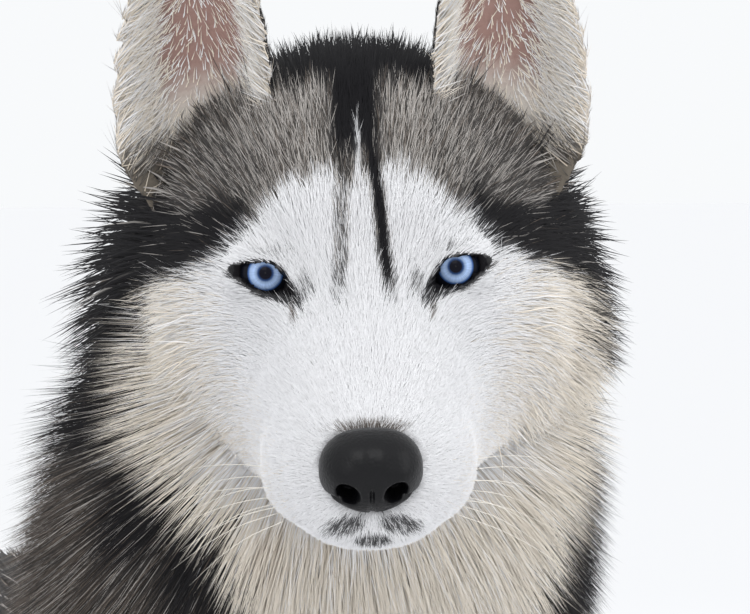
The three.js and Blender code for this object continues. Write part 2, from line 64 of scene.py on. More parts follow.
# Driving sizes in millimetres, as in the solids
WITHERS = 578
BODY = 652
CHEST_HALF = 119
ELBOW = 0.51 * WITHERS
BACK = WITHERS - 10
FORE_X, FORE_Y = 83, -0.26 * BODY
HIND_X, HIND_Y = 82, 0.44 * BODY
EYE_RADIUS = 10.6
EYE_OUT, EYE_BACK = 33.5, 4.2
NOSE_REACH = 96
NOSE_HEIGHT = -40
NOSE_MIDDLE = np.array([0.0, -(NOSE_REACH - 9), NOSE_HEIGHT])
NOSE_HALF, NOSE_COVER = (17.3, 12.6, 14.2), (17, 13, 14)  # the leather's, and what it hides of the skin
MOUTH_CORNER = 24
EAR_ROOT, EAR_HEIGHT = 33, 102
COAT_NECK, CORE = 38, 0.55
HEAD_AT = np.array([-52.0, -415.0, 720.0])
HEAD_TURN, HEAD_NOD, HEAD_TILT = math.radians(-22), math.radians(16), math.radians(-2)


def linear(hex_colour):
    """Linear RGB of an sRGB hex colour: c/12.92 near black, else ((c + 0.055)/1.055)^2.4."""
    c = np.array([int(hex_colour[i : i + 2], 16) for i in (1, 3, 5)]) / 255
    return tuple(np.where(c <= 0.04045, c / 12.92, ((c + 0.055) / 1.055) ** 2.4))


def turned(angle, axis):
    """Rotation matrix by an angle about x, y or z."""
    c, s = math.cos(angle), math.sin(angle)
    i, j = {"x": (1, 2), "y": (2, 0), "z": (0, 1)}[axis]
    m = np.eye(3)
    m[i, i], m[j, j], m[i, j], m[j, i] = c, c, -s, s
    return m


HEAD_ROTATION = turned(HEAD_TURN, "z") @ turned(HEAD_NOD, "x") @ turned(HEAD_TILT, "y")


def unit(v):
    """Vectors along the last axis, scaled to length 1."""
    return v / np.maximum(np.linalg.norm(v, axis=-1, keepdims=True), 1e-9)


def smoothstep(v, low, high):
    """0 below low, 1 above high, and 3s^2 - 2s^3 between."""
    s = np.clip((v - low) / (high - low), 0, 1)
    return s * s * (3 - 2 * s)


def hump(distance, radius):
    """Soft hump (1 - (d/r)^2)^2, which falls to nothing at the radius."""
    return (1 - np.minimum(np.abs(distance) / radius, 1) ** 2) ** 2


def power(v, p):
    """Signed power, |v|^p with the sign of v."""
    return np.sign(v) * np.abs(v) ** p


def between(rows, t):
    """Cubic Hermite curve through evenly spaced rows; each slope is half the step across two rows."""
    rows = np.asarray(rows, float)
    last = len(rows) - 1
    at = np.clip(t, 0, 1) * last
    i = np.minimum(at.astype(int), last - 1)
    s = (at - i)[..., None]
    here, following = rows[i], rows[i + 1]
    slope = 0.5 * (following - rows[np.maximum(i - 1, 0)])
    following_slope = 0.5 * (rows[np.minimum(i + 2, last)] - here)
    return (
        (2 * s**3 - 3 * s**2 + 1) * here
        + (s**3 - 2 * s**2 + s) * slope
        + (3 * s**2 - 2 * s**3) * following
        + (s**3 - s**2) * following_slope
    )


def waves(points, size, seed):
    """Smooth noise, mostly from -1 to 1: six random sine waves, about size long, over their usual peak."""
    rng = np.random.default_rng(seed)
    count, usual_peak = 6, 2.6
    directions = unit(rng.normal(size=(count, 3))) * (2 * math.pi / size) * rng.uniform(0.7, 1.4, (count, 1))
    return np.sin(points @ directions.T + rng.uniform(0, 6.3, count)).sum(1) / usual_peak


def head_to_world(points):
    """From the head's frame, x left, y back, z up from midway between the eyes, to the solids' frame."""
    return points @ HEAD_ROTATION.T + HEAD_AT


def world_to_head(points):
    """The way back into the head's frame."""
    return (points - HEAD_AT) @ HEAD_ROTATION


def origin_shift():
    """How far the solids were moved sideways when packed, from where both eyes are."""
    corners = [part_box("eye_" + side) for side in ("left", "right")]
    found = np.mean([[list(low), list(high)] for low, high in corners], axis=(0, 1)) / MM
    shift = found - head_to_world(np.array([0.0, EYE_BACK, 0.0]))
    shift[2] = 0
    return shift


SHIFT = origin_shift()

# Trunk rows: x, y, z, half width, half depth below, half depth above
TRUNK = [
    (0, y * BODY, (top + low) / 2, half, (top - low) / 2, (top - low) / 2)
    for y, top, low, half in [
        (-0.488, 448, 412, 20),
        (-0.462, 492, 378, 52),
        (-0.407, 530, 345, 86),
        (-0.33, 562, 310, 107),
        (-0.23, WITHERS, ELBOW - 3, 0.975 * CHEST_HALF),
        (-0.09, BACK + 3, ELBOW - 5, CHEST_HALF),
        (0.06, BACK, ELBOW + 10, 0.985 * CHEST_HALF),
        (0.215, BACK - 1, ELBOW + 38, 0.92 * CHEST_HALF),
        (0.34, BACK - 6, ELBOW + 68, 0.86 * CHEST_HALF),
        (0.437, BACK - 30, ELBOW + 98, 0.7 * CHEST_HALF),
        (0.49, BACK - 60, ELBOW + 125, 0.46 * CHEST_HALF),
        (0.512, BACK - 88, ELBOW + 150, 0.16 * CHEST_HALF),
    ]
]
# Limb rows: x, y, z, half width, half depth in front, half depth behind
NECK = [
    (-32, -352, 700, 60, 60, 60),
    (-25, -332, 672, 94, 82, 84),
    (-16, -302, 632, 108, 94, 96),
    (-9, -270, 586, 114, 101, 98),
    (-4, -244, 536, 116, 106, 96),
    (0, -224, 486, 112, 118, 86),
    (0, -204, 436, 92, 112, 62),
]
FORELEG = [
    (60, FORE_Y - 48, 455, 40, 52, 52),
    (72, FORE_Y - 38, 400, 46, 60, 62),
    (80, FORE_Y - 6, 340, 41, 48, 54),
    (FORE_X + 1, FORE_Y + 12, ELBOW - 12, 34, 38, 42),
    (FORE_X, FORE_Y + 10, 228, 28.5, 30, 32),
    (FORE_X, FORE_Y + 5, 168, 25, 26, 27.5),
    (FORE_X, FORE_Y + 2, 120, 25.5, 26.5, 26.5),
    (FORE_X, FORE_Y - 5, 78, 23.5, 24, 24),
    (FORE_X, FORE_Y - 15, 42, 26, 29, 27),
    (FORE_X, FORE_Y - 22, 16, 24, 26, 22),
]
HINDLEG = [
    (50, HIND_Y - 62, 492, 38, 62, 60),
    (66, HIND_Y - 66, 436, 50, 88, 80),
    (76, HIND_Y - 70, 376, 50, 90, 84),
    (HIND_X, HIND_Y - 72, 318, 42, 66, 70),
    (HIND_X + 2, HIND_Y - 40, 262, 33, 44, 46),
    (HIND_X + 1, HIND_Y - 4, 212, 26, 31, 34),
    (HIND_X, HIND_Y + 18, 166, 23.5, 26, 29),
    (HIND_X, HIND_Y + 20, 120, 22, 23, 24),
    (HIND_X, HIND_Y + 12, 76, 22, 23, 23),
    (HIND_X, HIND_Y + 2, 42, 25, 28, 26),
    (HIND_X, HIND_Y - 8, 16, 23, 25, 21),
]
TAIL = [
    (0, 300, 520, 20, 20, 20),
    (0, 336, 498, 31, 30, 30),
    (0, 366, 455, 41, 40, 40),
    (0, 380, 400, 49, 48, 48),
    (0, 386, 342, 52, 52, 52),
    (0, 392, 284, 48, 50, 50),
    (0, 404, 232, 38, 40, 40),
    (0, 424, 192, 22, 24, 24),
    (0, 440, 172, 3, 3, 3),
]
# Head rows: in front of the eyes, top, bottom, half width, height of the widest level
HEAD = [
    (NOSE_REACH - 4, -52, -62, 3, -57),
    (NOSE_REACH - 6, -45, -68, 14, -57),
    (NOSE_REACH - 12, -33, -73, 24, -55),
    (NOSE_REACH - 22, -24, -76, 31, -53),
    (58, -17, -79, 35.5, -51),
    (41, -10, -82, 38.5, -50),
    (24, -2, -84, 42.5, -48),
    (9, 11, -87, 49, -47),
    (-6, 32, -90, 59, -45),
    (-24, 52, -94, 71, -45),
    (-46, 64, -97, 83, -45),
    (-70, 69, -97, 92, -44),
    (-94, 66, -92, 93, -41),
    (-114, 50, -80, 80, -36),
    (-126, 22, -56, 50, -26),
]
# Soft forms of the face: out, in front of the eyes, up, radius, height
FACE_FORMS = [
    (23, -4, 17, 22, 4.5),
    (54, -16, -26, 30, 5),
    (15, 24, -2, 20, -3.5),
    (38, 14, -22, 22, -3),
    (27, 62, -50, 24, 2.4),
    (0, -22, 50, 26, -4),
]
LIP_LEVEL, LIP_POWER = 0.5, 0.86
LIP_ANGLE, LIP_SPREAD = math.acos(-(LIP_LEVEL ** (1 / LIP_POWER))), math.radians(7)
# Ear rows: out, behind the eyes, up, half width, depth of the cup, half thickness
EAR = [
    (47, 62, EAR_ROOT - 30, 22, 9, 12),
    (51, 64, EAR_ROOT - 12, 28, 13, 9),
    (54, 66, EAR_ROOT, 32, 15, 6.5),
    (55.5, 68, EAR_ROOT + 18, 33, 15, 5),
    (56, 70, EAR_ROOT + 35, 31.5, 13, 4),
    (55.8, 72, EAR_ROOT + 51, 28, 10.5, 3.5),
    (54.8, 74, EAR_ROOT + 66, 23.5, 7.5, 3.1),
    (53, 76, EAR_ROOT + 80, 17.5, 4.8, 2.7),
    (51.5, 77, EAR_ROOT + 92, 11, 2.4, 2.2),
    (50.5, 78, EAR_ROOT + EAR_HEIGHT, 4, 0.5, 1.2),
]
EAR_FACING, EAR_LEAN = math.radians(20), math.radians(22)
# Depth of the coat on the head, from the nose to the nape
HEAD_COAT = [(d,) for d in (1.5, 1.5, 1.8, 2, 2.2, 2.6, 3.2, 4.2, 6.5, 10, 14, 18, 21, 22, 20)]


def limb_surface(rows, depth):
    """Points of a limb: its path, plus (side sin a) left and (front or back cos a) ahead, less the coat.

    The ring lies square to the path, and angle 0 is its front.
    """

    def surface(t, angle):
        row = between(rows, t)
        path = np.asarray(rows, float)[:, :3]
        along = unit(between(path, np.minimum(t + 0.01, 1)) - between(path, np.maximum(t - 0.01, 0)))
        left = unit(np.array([1.0, 0, 0]) - along * along[:, :1])
        ahead = np.cross(along, left)
        c = np.cos(angle)
        inset = depth(t) if callable(depth) else depth
        reach = np.where(c > 0, row[:, 4], row[:, 5]) - inset
        side = row[:, 3] - inset
        return row[:, :3] + ahead * (c * reach)[:, None] + left * (np.sin(angle) * side)[:, None]

    return surface


def head_surface(t, angle):
    """Points of the head: squared ellipses along the skull, plus the face's humps, less the mouth line."""
    ahead, top, bottom, half, middle = between(HEAD, t).T
    depth = between(HEAD_COAT, t)[:, 0]
    c, s = np.cos(angle), np.sin(angle)
    reach = np.where(c > 0, top - middle, middle - bottom) - depth
    ends = np.cos(math.pi / 2 * np.minimum(np.minimum(t, 1 - t) * 12, 1)) * np.where(t < 0.5, 1, -1)
    x = power(s, 0.9) * np.maximum(half - depth, 0.5)
    z = middle + power(c, LIP_POWER) * np.maximum(reach, 0.5)
    out = unit(np.stack([x, 0 * x, z - middle], 1))
    height = np.zeros_like(x)
    for form_x, form_ahead, form_up, radius, rise in FACE_FORMS:
        away = np.sqrt((np.abs(x) - form_x) ** 2 + (ahead - form_ahead) ** 2 + (z - form_up) ** 2)
        height += rise * hump(away, radius)
    turn = np.arccos(np.clip(c, -1, 1))
    open_mouth = smoothstep(ahead, MOUTH_CORNER, MOUTH_CORNER + 10)
    height -= open_mouth * 2.6 * hump(np.abs(turn - LIP_ANGLE), LIP_SPREAD)
    below = np.clip((turn - LIP_ANGLE) / LIP_SPREAD, 0, 1)
    height -= open_mouth * 2.2 * below
    return head_to_world(np.stack([x, depth * ends - ahead, z], 1) + out * height[:, None])


def ear_surface(side):
    """Points of an ear: a leaf whose section is bent into a cup, cup (1 - 1.6 s^2), and turned outwards."""

    def surface(t, angle):
        x, back, up, half, cup, thick = between(EAR, t).T
        s, c = np.sin(angle), np.cos(angle)
        across = s * (half - 1)
        deep = cup * (1 - 1.6 * s * s) + c * (thick - 0.3)
        lean = EAR_LEAN * (1 - t)
        return head_to_world(
            np.stack(
                [
                    side * (x + across * math.cos(EAR_FACING) - deep * math.sin(EAR_FACING)),
                    back + deep * math.cos(EAR_FACING) + across * math.sin(EAR_FACING),
                    up - across * np.sin(lean),
                ],
                1,
            )
        )

    return surface


def on_side(rows, side):
    """The rows of a limb, mirrored for the right side."""
    return [(side * row[0], *row[1:]) for row in rows]


def leg_coat(t):
    """Depth of the coat down a leg: long over the shoulder or thigh, short at the foot."""
    return 16 - 12.5 * smoothstep(t, 0.15, 0.75)


def tail_coat(t):
    """The tail's skin lies deep in its brush and meets it at the tip."""
    return between([(12,), (20,), (27,), (33,), (36,), (34,), (26,), (15,), (2,)], t)[:, 0]


TORSO_COAT = 19
PARTS = {
    "torso": limb_surface(TRUNK, lambda t: TORSO_COAT * smoothstep(np.minimum(t, 1 - t), -0.02, 0.12)),
    "neck": limb_surface(NECK, CORE * COAT_NECK + 3),
    "tail": limb_surface(TAIL, tail_coat),
    "head": head_surface,
}
for side_name, side in (("left", LEFT), ("right", RIGHT)):
    PARTS["foreleg_" + side_name] = limb_surface(on_side(FORELEG, side), leg_coat)
    PARTS["hindleg_" + side_name] = limb_surface(on_side(HINDLEG, side), leg_coat)
    PARTS["ear_" + side_name] = ear_surface(side)
PART_NAMES = list(PARTS)


def part_is(part, start):
    """Which part numbers belong to parts whose names begin so."""
    return np.isin(part, [i for i, name in enumerate(PART_NAMES) if name.startswith(start)])


def grid(rows, columns):
    """t and angle of every point on a closed tube's grid, as flat arrays."""
    t = np.repeat(np.linspace(0, 1, rows + 1), columns)
    angle = np.tile(np.arange(columns) / columns * 2 * math.pi, rows + 1)
    return t, angle


def tube_faces(rows, columns):
    """Quads between neighbouring rings, and a polygon over each end."""
    i, j = np.meshgrid(np.arange(rows), np.arange(columns), indexing="ij")
    k = (j + 1) % columns
    quads = np.stack([i * columns + j, i * columns + k, (i + 1) * columns + k, (i + 1) * columns + j], -1)
    faces = quads.reshape(-1, 4).tolist()
    return [list(range(columns))[::-1], *faces, list(range(rows * columns, (rows + 1) * columns))]


def new_object(name, points, faces, material=None):
    """A mesh object at the origin, its points given in millimetres in the solids' frame."""
    mesh = bpy.data.meshes.new(name)
    mesh.from_pydata(((np.asarray(points) + SHIFT) * MM).tolist(), [], faces)
    mesh.update()
    mesh.shade_smooth()
    if material:
        mesh.materials.append(material)
    made = bpy.data.objects.new(name, mesh)
    bpy.context.scene.collection.objects.link(made)
    return made


def face_outwards(made):
    """Recalculates a closed mesh's normals so that they point out."""
    edit = bmesh.new()
    edit.from_mesh(made.data)
    bmesh.ops.recalc_face_normals(edit, faces=edit.faces)
    edit.to_mesh(made.data)
    edit.free()
    return made


def tube(name, surface, rows, columns, material=None):
    """A closed tube of surface(t, angle)."""
    made = new_object(name, surface(*grid(rows, columns)), tube_faces(rows, columns), material)
    return face_outwards(made)


def join(objects, name):
    """One object of several meshes."""
    with bpy.context.temp_override(
        active_object=objects[0],
        object=objects[0],
        selected_objects=objects,
        selected_editable_objects=objects,
    ):
        bpy.ops.object.join()
    objects[0].name = objects[0].data.name = name
    return objects[0]


def apply_modifiers(made):
    """The object's mesh with its modifiers worked in."""
    with bpy.context.temp_override(active_object=made, object=made, selected_objects=[made]):
        for modifier in list(made.modifiers):
            bpy.ops.object.modifier_apply(modifier=modifier.name)
    return made


def fused(parts, name, voxel, smoothing):
    """Closed forms melted into one surface by voxels of a size in millimetres, then lightly smoothed."""
    made = join(parts, name)
    remesh = made.modifiers.new("melt", "REMESH")
    remesh.mode, remesh.voxel_size = "VOXEL", voxel * MM
    soften = made.modifiers.new("soften", "SMOOTH")
    soften.iterations, soften.factor = smoothing, 0.5
    return apply_modifiers(made)


def vertices_of(made):
    """A mesh's points in millimetres, in the frame of the solids before they were moved."""
    flat = np.empty(len(made.data.vertices) * 3, np.float32)
    made.data.vertices.foreach_get("co", flat)
    return flat.reshape(-1, 3).astype(float) / MM - SHIFT


def set_vertices(made, points):
    """Puts points in millimetres back into a mesh."""
    made.data.vertices.foreach_set("co", ((points + SHIFT) * MM).astype(np.float32).ravel())
    made.data.update()


def add_attribute(mesh, name, kind, values):
    """A named attribute on the points of a mesh."""
    key = {"INT": "value", "FLOAT_VECTOR": "vector", "FLOAT_COLOR": "color"}[kind]
    attribute = mesh.attributes.new(name, kind, "POINT")
    attribute.data.foreach_set(key, np.asarray(values, np.int32 if kind == "INT" else np.float32).ravel())


def read_attribute(mesh, name, width):
    """The values of a named vector or colour attribute."""
    attribute = mesh.attributes[name]
    flat = np.empty(len(attribute.data) * width, np.float32)
    attribute.data.foreach_get({3: "vector", 4: "color"}[width], flat)
    return flat.reshape(-1, width)


def node(tree, kind, **settings):
    """Adds a shader node: in_X fills socket X with a value or a link, other settings are properties."""
    made = tree.nodes.new(kind)
    for key, value in settings.items():
        if not key.startswith("in_"):
            setattr(made, key, value)
    for key, value in settings.items():
        if key.startswith("in_"):
            label = key[3:].replace("_", " ")
            socket = made.inputs[int(label)] if label.isdigit() else made.inputs[label]
            if isinstance(value, bpy.types.NodeSocket):
                tree.links.new(value, socket)
            else:
                socket.default_value = value
    return made


def new_material(name):
    """An empty material and its output node."""
    material = bpy.data.materials.new(name)
    material.use_nodes = True
    material.node_tree.nodes.clear()
    return material, material.node_tree


def finish_material(tree, **shader):
    """A Principled shader with these sockets, joined to the output."""
    surface = node(tree, "ShaderNodeBsdfPrincipled", **{"in_" + k: v for k, v in shader.items()})
    node(tree, "ShaderNodeOutputMaterial", in_Surface=surface.outputs[0])


# Markings

FACE_TIP = math.radians(18)  # how far down the face is tipped for a viewer in front
VIEWING_DISTANCE = 1200  # from that viewer to the eyes


def front_view(points):
    """Where points of the head fall for a viewer in front, in millimetres at the depth of the eyes.

    The first value is out to the dog's left, the second up, and the third how far behind the eyes they lie.
    """
    x, back, up = world_to_head(points).T
    behind = back * math.cos(FACE_TIP) - up * math.sin(FACE_TIP)
    share = VIEWING_DISTANCE / (VIEWING_DISTANCE + behind)
    return x * share, (up * math.cos(FACE_TIP) + back * math.sin(FACE_TIP)) * share, back


def curve(v, pairs):
    """Straight lines through pairs of values."""
    at, value = np.array(pairs, float).T
    return np.interp(v, at, value)


KINDS = 5
WHITE, CREAM, BLACK, GREY, BROWN = range(KINDS)
# Edges of the white as seen from in front: up over each brow by out, and out down cheek and throat by up
BROW_EDGE = [
    (0, 30), (7, 33), (9, 37), (15, 38), (25, 33), (31, 26), (36, 20.5), (42, 16.5), (48, 12.5),
    (54, 7), (59, 2), (68, -1.5), (80, -6.5), (90, -13), (120, -40),
]
CHEEK_EDGE = {
    LEFT: [
        (-240, 60), (-115, 63), (-97, 68), (-80, 73), (-65, 78), (-44, 83), (-20, 84), (-9, 83), (0, 83),
        (20, 92), (60, 98),
    ],
    RIGHT: [
        (-240, 40), (-114, 42), (-93, 51), (-83, 59), (-72, 67), (-62, 76), (-54, 80), (-44, 79), (-27, 76),
        (-9, 75), (0, 76), (20, 88), (60, 98),
    ],
}
# Half width of the pale stripe down the stop, and how far out the dark lines beside it run, by height
STRIPE = [(-20, 5.5), (0, 5), (19, 3.6), (29, 2.1), (40, 1.1), (52, 0.6), (57, 0)]
LINE = [(-8, 9), (0, 8), (12, 6.8), (29, 5.8), (40, 4.2), (55, 2.5)]


def head_shades(points):
    """Shares of white, cream, black, grizzled grey and brown hair at points of the head and throat."""
    x, up, back = front_view(points)
    wander = 2.4 * waves(points, 30, 1) + 1.6 * waves(points, 11, 2)
    side = np.abs(x)
    # The white reaches up to the brows' edge and out to the cheeks'
    brow = smoothstep(curve(side, BROW_EDGE) - up + 0.7 * wander, -4, 4)
    cheek_edge = np.where(x > 0, curve(up, CHEEK_EDGE[LEFT]), curve(up, CHEEK_EDGE[RIGHT]))
    cheek = smoothstep(cheek_edge - 2 - side + 0.8 * wander, -4, 4)
    white = np.minimum(brow, cheek)
    # Down the stop runs a thin pale stripe between two dark lines, the left one sharper
    middle = x - 0.8
    stripe = smoothstep(curve(up, STRIPE) - np.abs(middle), -1, 1) * smoothstep(58 - up, 0, 5)
    sharp = np.where(middle > 0, 1.0, 0.62)
    lines = sharp * smoothstep(2.3 - np.abs(np.abs(middle) - curve(up, LINE) - 0.5), -1.6, 1.4)
    lines *= smoothstep(up + 9, -3, 9) * smoothstep(80 - up, 0, 10)
    white = np.maximum(white * (1 - lines), (0.86 - 0.3 * smoothstep(up, 22, 34)) * stripe)
    white *= smoothstep(82 - back + wander, -6, 6) * np.where(up > 40, smoothstep(60 - up, 0, 5), 1)
    # Black: the crown and its peak, a band over each brow, the temples, and a rim before each ear
    crown = smoothstep(up - 63 + wander + 8 * hump(x, 14), -5, 7)
    crown *= smoothstep(29 + 2 * np.maximum(up - 66, 0) - side + wander, -6, 8)
    peak = smoothstep(9.5 - side, -4, 4) * smoothstep(up - 34, -6, 14)
    rise = up - curve(side, BROW_EDGE)
    band = smoothstep(12 + 0.8 * np.maximum(side - 45, 0) - rise + wander, -5, 5) * smoothstep(side, 33, 42)
    temple = smoothstep(side + wander, 60, 76)
    rim = smoothstep(up - 76 + 0.62 * np.abs(side - 30), -4, 4) * smoothstep(side, 28, 40)
    black = np.clip(np.maximum.reduce([crown, peak, 0.97 * band, 0.97 * temple, lines, 0.8 * rim]), 0, 1)
    # Behind the cheeks the ruff is black at the edge of the white and agouti further out
    ruff = smoothstep(side - cheek_edge + 3 * wander, 12, 32) * smoothstep(-up, 0, 45)
    # The forehead is grizzled and darkens outwards, and below it all but the ruff is black
    forehead = smoothstep(up, -4, 10)
    black = np.maximum(black, 0.55 * smoothstep(side, 16, 56))
    black = black * forehead + (1 - forehead) * (0.96 - 0.5 * ruff)
    black = np.where(back > 100, np.maximum(black, 0.7 * smoothstep(up, -30, 20)), black)
    # The white turns creamy outwards, and sooner down the throat
    shades = np.zeros((len(points), KINDS))
    creamy = 0.9 * smoothstep(side - 1.4 * np.minimum(up + 66, 0) * (back > -20) - 0.25 * up, 44, 84)
    shades[:, WHITE], shades[:, CREAM] = white * (1 - creamy), white * creamy
    dark = 1 - white
    brown = 0.25 + 0.45 * ruff
    shades[:, BLACK] = dark * black
    shades[:, GREY], shades[:, BROWN] = dark * (1 - black) * (1 - brown), dark * (1 - black) * brown
    shades = eye_shades(points, shades)
    # Dark hair edges the upper lips and the lower lip, and brown hair the top of the nose
    front = back < -52
    lip = hump(np.hypot((side - 9.5) / 10.5, (up + 87.5 + 0.12 * side) / 4.6), 1) * smoothstep(side, 0, 4)
    chin = hump(np.hypot(x / 9.5, (up + 94) / 2.6), 1)
    flecks = hump(np.hypot(x / 19, (up + 54) / 4.5), 1)
    for amount, kind in ((0.72 * np.clip(2 * lip, 0, 1), BLACK), (0.8 * np.clip(2.4 * chin, 0, 1), BLACK),
                         (0.75 * np.clip(1.6 * flecks, 0, 1), BROWN)):
        mix = (amount * front)[:, None]
        shades = shades * (1 - mix) + mix * np.eye(KINDS)[kind]
    return shades


def eye_shades(points, shades):
    """Dark hair close round the lids and at the inner corners, with a rusty tear line below each corner."""
    for side in (LEFT, RIGHT):
        rim, out, up, _ = eye_opening(points, side)
        close = smoothstep(1.42 - rim, 0, 0.2) * (rim > 0)
        corner = 0.5 * hump(np.hypot((out + 14) / 5, (up + 5) / 7), 1)
        corner = corner + 0.3 * hump(np.hypot((out + 2) / 11, (up - 8) / 2.5), 1)
        tear = hump(np.hypot((out + 9.2) / 1.8, (up + 14.5) / 4.5), 1)
        for amount, kind in ((0.85 * close, BLACK), (corner, BLACK), (0.8 * tear, BROWN)):
            mix = np.clip(amount, 0, 1)[:, None]
            shades = shades * (1 - mix) + mix * np.eye(KINDS)[kind]
    return shades


def ear_shades(points, t, angle):
    """Cream in front and along the outer edge, black and grey behind, and like the temple at the root."""
    behind = smoothstep(np.cos(angle), -0.12, 0.12) * smoothstep(0.5 - np.sin(angle), 0, 0.3)
    shades = np.zeros((len(points), KINDS))
    shades[:, CREAM] = (1 - behind) * 0.55
    shades[:, WHITE] = (1 - behind) * 0.45
    shades[:, BLACK] = behind * 0.85
    shades[:, GREY] = behind * 0.15
    root = smoothstep(0.25 - t, -0.03, 0.06)[:, None]
    return shades * (1 - root) + root * [0, 0.2, 0.3, 0.4, 0.1]


def body_shades(points, part, t, angle):
    """Saddle of black and grey over pale flanks, throat, belly and legs."""
    around = np.abs((angle + math.pi) % (2 * math.pi) - math.pi)
    wander = 0.16 * waves(points, 90, 3) + 0.07 * waves(points, 25, 4)
    z = points[:, 2]
    shades = np.zeros((len(points), KINDS))
    pale = np.ones(len(points))
    back = np.zeros(len(points))
    neck, torso, tail = part_is(part, "neck"), part_is(part, "torso"), part_is(part, "tail")
    fore, hind = part_is(part, "foreleg"), part_is(part, "hindleg")
    pale[neck] = smoothstep(0.5 + 0.25 * t - around + wander, -0.22, 0.22)[neck]
    back[neck] = smoothstep(around + wander, 0.8, 2.5)[neck]
    pale[torso] = smoothstep(1.12 - around + wander, -0.2, 0.2)[torso]
    back[torso] = smoothstep(around + wander, 1.1, 2.7)[torso]
    high = smoothstep(z + 260 * wander, 300, 390)
    pale[hind] = (1 - high * smoothstep(np.abs(points[:, 0]), 60, 85))[hind]
    pale[fore] = (1 - 0.9 * smoothstep(z + 200 * wander, 330, 390))[fore]
    pale[tail] = np.maximum(smoothstep(0.9 - around + wander, -0.3, 0.3), smoothstep(t, 0.86, 0.96))[tail]
    back[tail] = 0.75
    shades[:, WHITE] = pale * 0.55
    shades[:, CREAM] = pale * 0.45
    shades[:, BLACK] = (1 - pale) * (0.30 + 0.5 * back)
    shades[:, GREY] = (1 - pale) * (0.36 - 0.22 * back)
    shades[:, BROWN] = (1 - pale) * (0.34 - 0.28 * back)
    return shades


def shades_at(points, part, t, angle):
    """Shares of each hair colour for points of the skin or of tufts' roots."""
    shades = body_shades(points, part, t, angle)
    head, neck, ears = (part_is(part, start) for start in ("head", "neck", "ear"))
    shades[head] = head_shades(points[head])
    # The throat carries the face's markings on, and hands over to the trunk's down the neck
    share = smoothstep(0.82 - t[neck], 0, 0.25)[:, None]
    shades[neck] = share * head_shades(points[neck]) + (1 - share) * shades[neck]
    shades[ears] = ear_shades(points[ears], t[ears], angle[ears])
    return shades / np.maximum(shades.sum(1, keepdims=True), 1e-6)


# Coat


class HuskyCoat(bpy.types.PropertyGroup):
    """Colours of the hair, and how thickly it is set."""

    white: FloatVectorProperty(
        name="White", description="Face, chest and legs", subtype="COLOR", default=linear("#F9F9FB")
    )
    cream: FloatVectorProperty(
        name="Cream", description="Cheeks, throat and ears", subtype="COLOR", default=linear("#F2E9DB")
    )
    black: FloatVectorProperty(
        name="Black", description="Crown, temples and saddle", subtype="COLOR", default=linear("#100F13")
    )
    grey: FloatVectorProperty(
        name="Grey", description="Grizzled hair of the forehead", subtype="COLOR", default=linear("#D9D3CD")
    )
    brown: FloatVectorProperty(
        name="Brown", description="Warm hair of the ruff", subtype="COLOR", default=linear("#776A5F")
    )
    thickness: FloatProperty(
        name="Thickness", description="Share of the full count of tufts", default=1, min=0.1, max=1
    )
    seed: IntProperty(name="Seed", description="Start of the random draws", default=7)


def palette(settings):
    """Root and tip colours of the five kinds of hair; grizzled hair is dark at its root, pale at its tip."""
    white, cream, black, grey, brown = (
        np.array(c) for c in (settings.white, settings.cream, settings.black, settings.grey, settings.brown)
    )
    # White and cream roots are darker, the cream ones tan: painted shade deep in the coat. The grey and
    # brown roots are the hair's own dark band.
    roots = np.stack([white * 0.92, cream * [0.86, 0.8, 0.72], black * 1.3, grey * 0.13, brown * 0.35])
    tips = np.stack([white, cream, black, grey, brown])
    return roots, tips


def coat_material(name):
    """Guard hair: matt and slightly silky, its colour kept on the points of each tuft."""
    material, tree = new_material(name)
    colour = node(tree, "ShaderNodeAttribute", attribute_name="coat")
    finish_material(tree, Base_Color=colour.outputs["Color"], Roughness=0.7, Specular_IOR_Level=0.2)
    return material


def skin_material():
    """Skin and dense undercoat under the hair: no gloss, mottled at 2 mm, its colour darkened as painted
    shade under the coat.
    """
    material, tree = new_material("undercoat_skin")
    colour = node(tree, "ShaderNodeAttribute", attribute_name="coat")
    place = node(tree, "ShaderNodeTexCoord")
    grain = node(
        tree, "ShaderNodeTexNoise", in_Vector=place.outputs["Object"], in_Scale=1 / (2 * MM), in_Detail=3.0
    )
    bump = node(tree, "ShaderNodeBump", in_Height=grain.outputs["Fac"], in_Strength=0.5, in_Distance=MM)
    finish_material(
        tree, Base_Color=colour.outputs["Color"], Roughness=0.85, Specular_IOR_Level=0.1,
        Normal=bump.outputs["Normal"],
    )
    return material


# Outline of an eye's opening about the middle of its iris: degrees from outwards, then upwards, and mm
EYE_OUTLINE = [
    (10, 12.6), (26, 8.0), (44, 5.4), (66, 4.2), (90, 3.7), (120, 3.6), (148, 4.2), (178, 5.5), (197, 7.4),
    (212, 10.8), (225, 14.2), (236, 10.2), (256, 7.2), (280, 6.6), (308, 6.5), (335, 7.4), (354, 9.6),
]


def outline_radius(turn):
    """Radius of the eye's outline at an angle in degrees, through a soft average over 6 degrees."""
    at, radius = np.array(EYE_OUTLINE, float).T
    steps = np.arange(-6, 7, 2)
    return np.mean([np.interp(turn + step, at, radius, period=360) for step in steps], axis=0)


def eye_opening(points, side):
    """Distance of points from an eye's middle as a share of its outline, and how far out, up and in front.

    The plane of the outline is square to the line of sight. Points behind the eye count as far off.
    """
    away = world_to_head(points) - np.array([side * EYE_OUT, EYE_BACK, 0])
    out = side * away[:, 0]
    up = away[:, 2] * math.cos(FACE_TIP) + away[:, 1] * math.sin(FACE_TIP)
    front = away[:, 2] * math.sin(FACE_TIP) - away[:, 1] * math.cos(FACE_TIP)
    turn = np.degrees(np.arctan2(up, out)) % 360
    share = np.hypot(out, up) / outline_radius(turn)
    return np.where(front > -6, share, 99.0), out, up, front


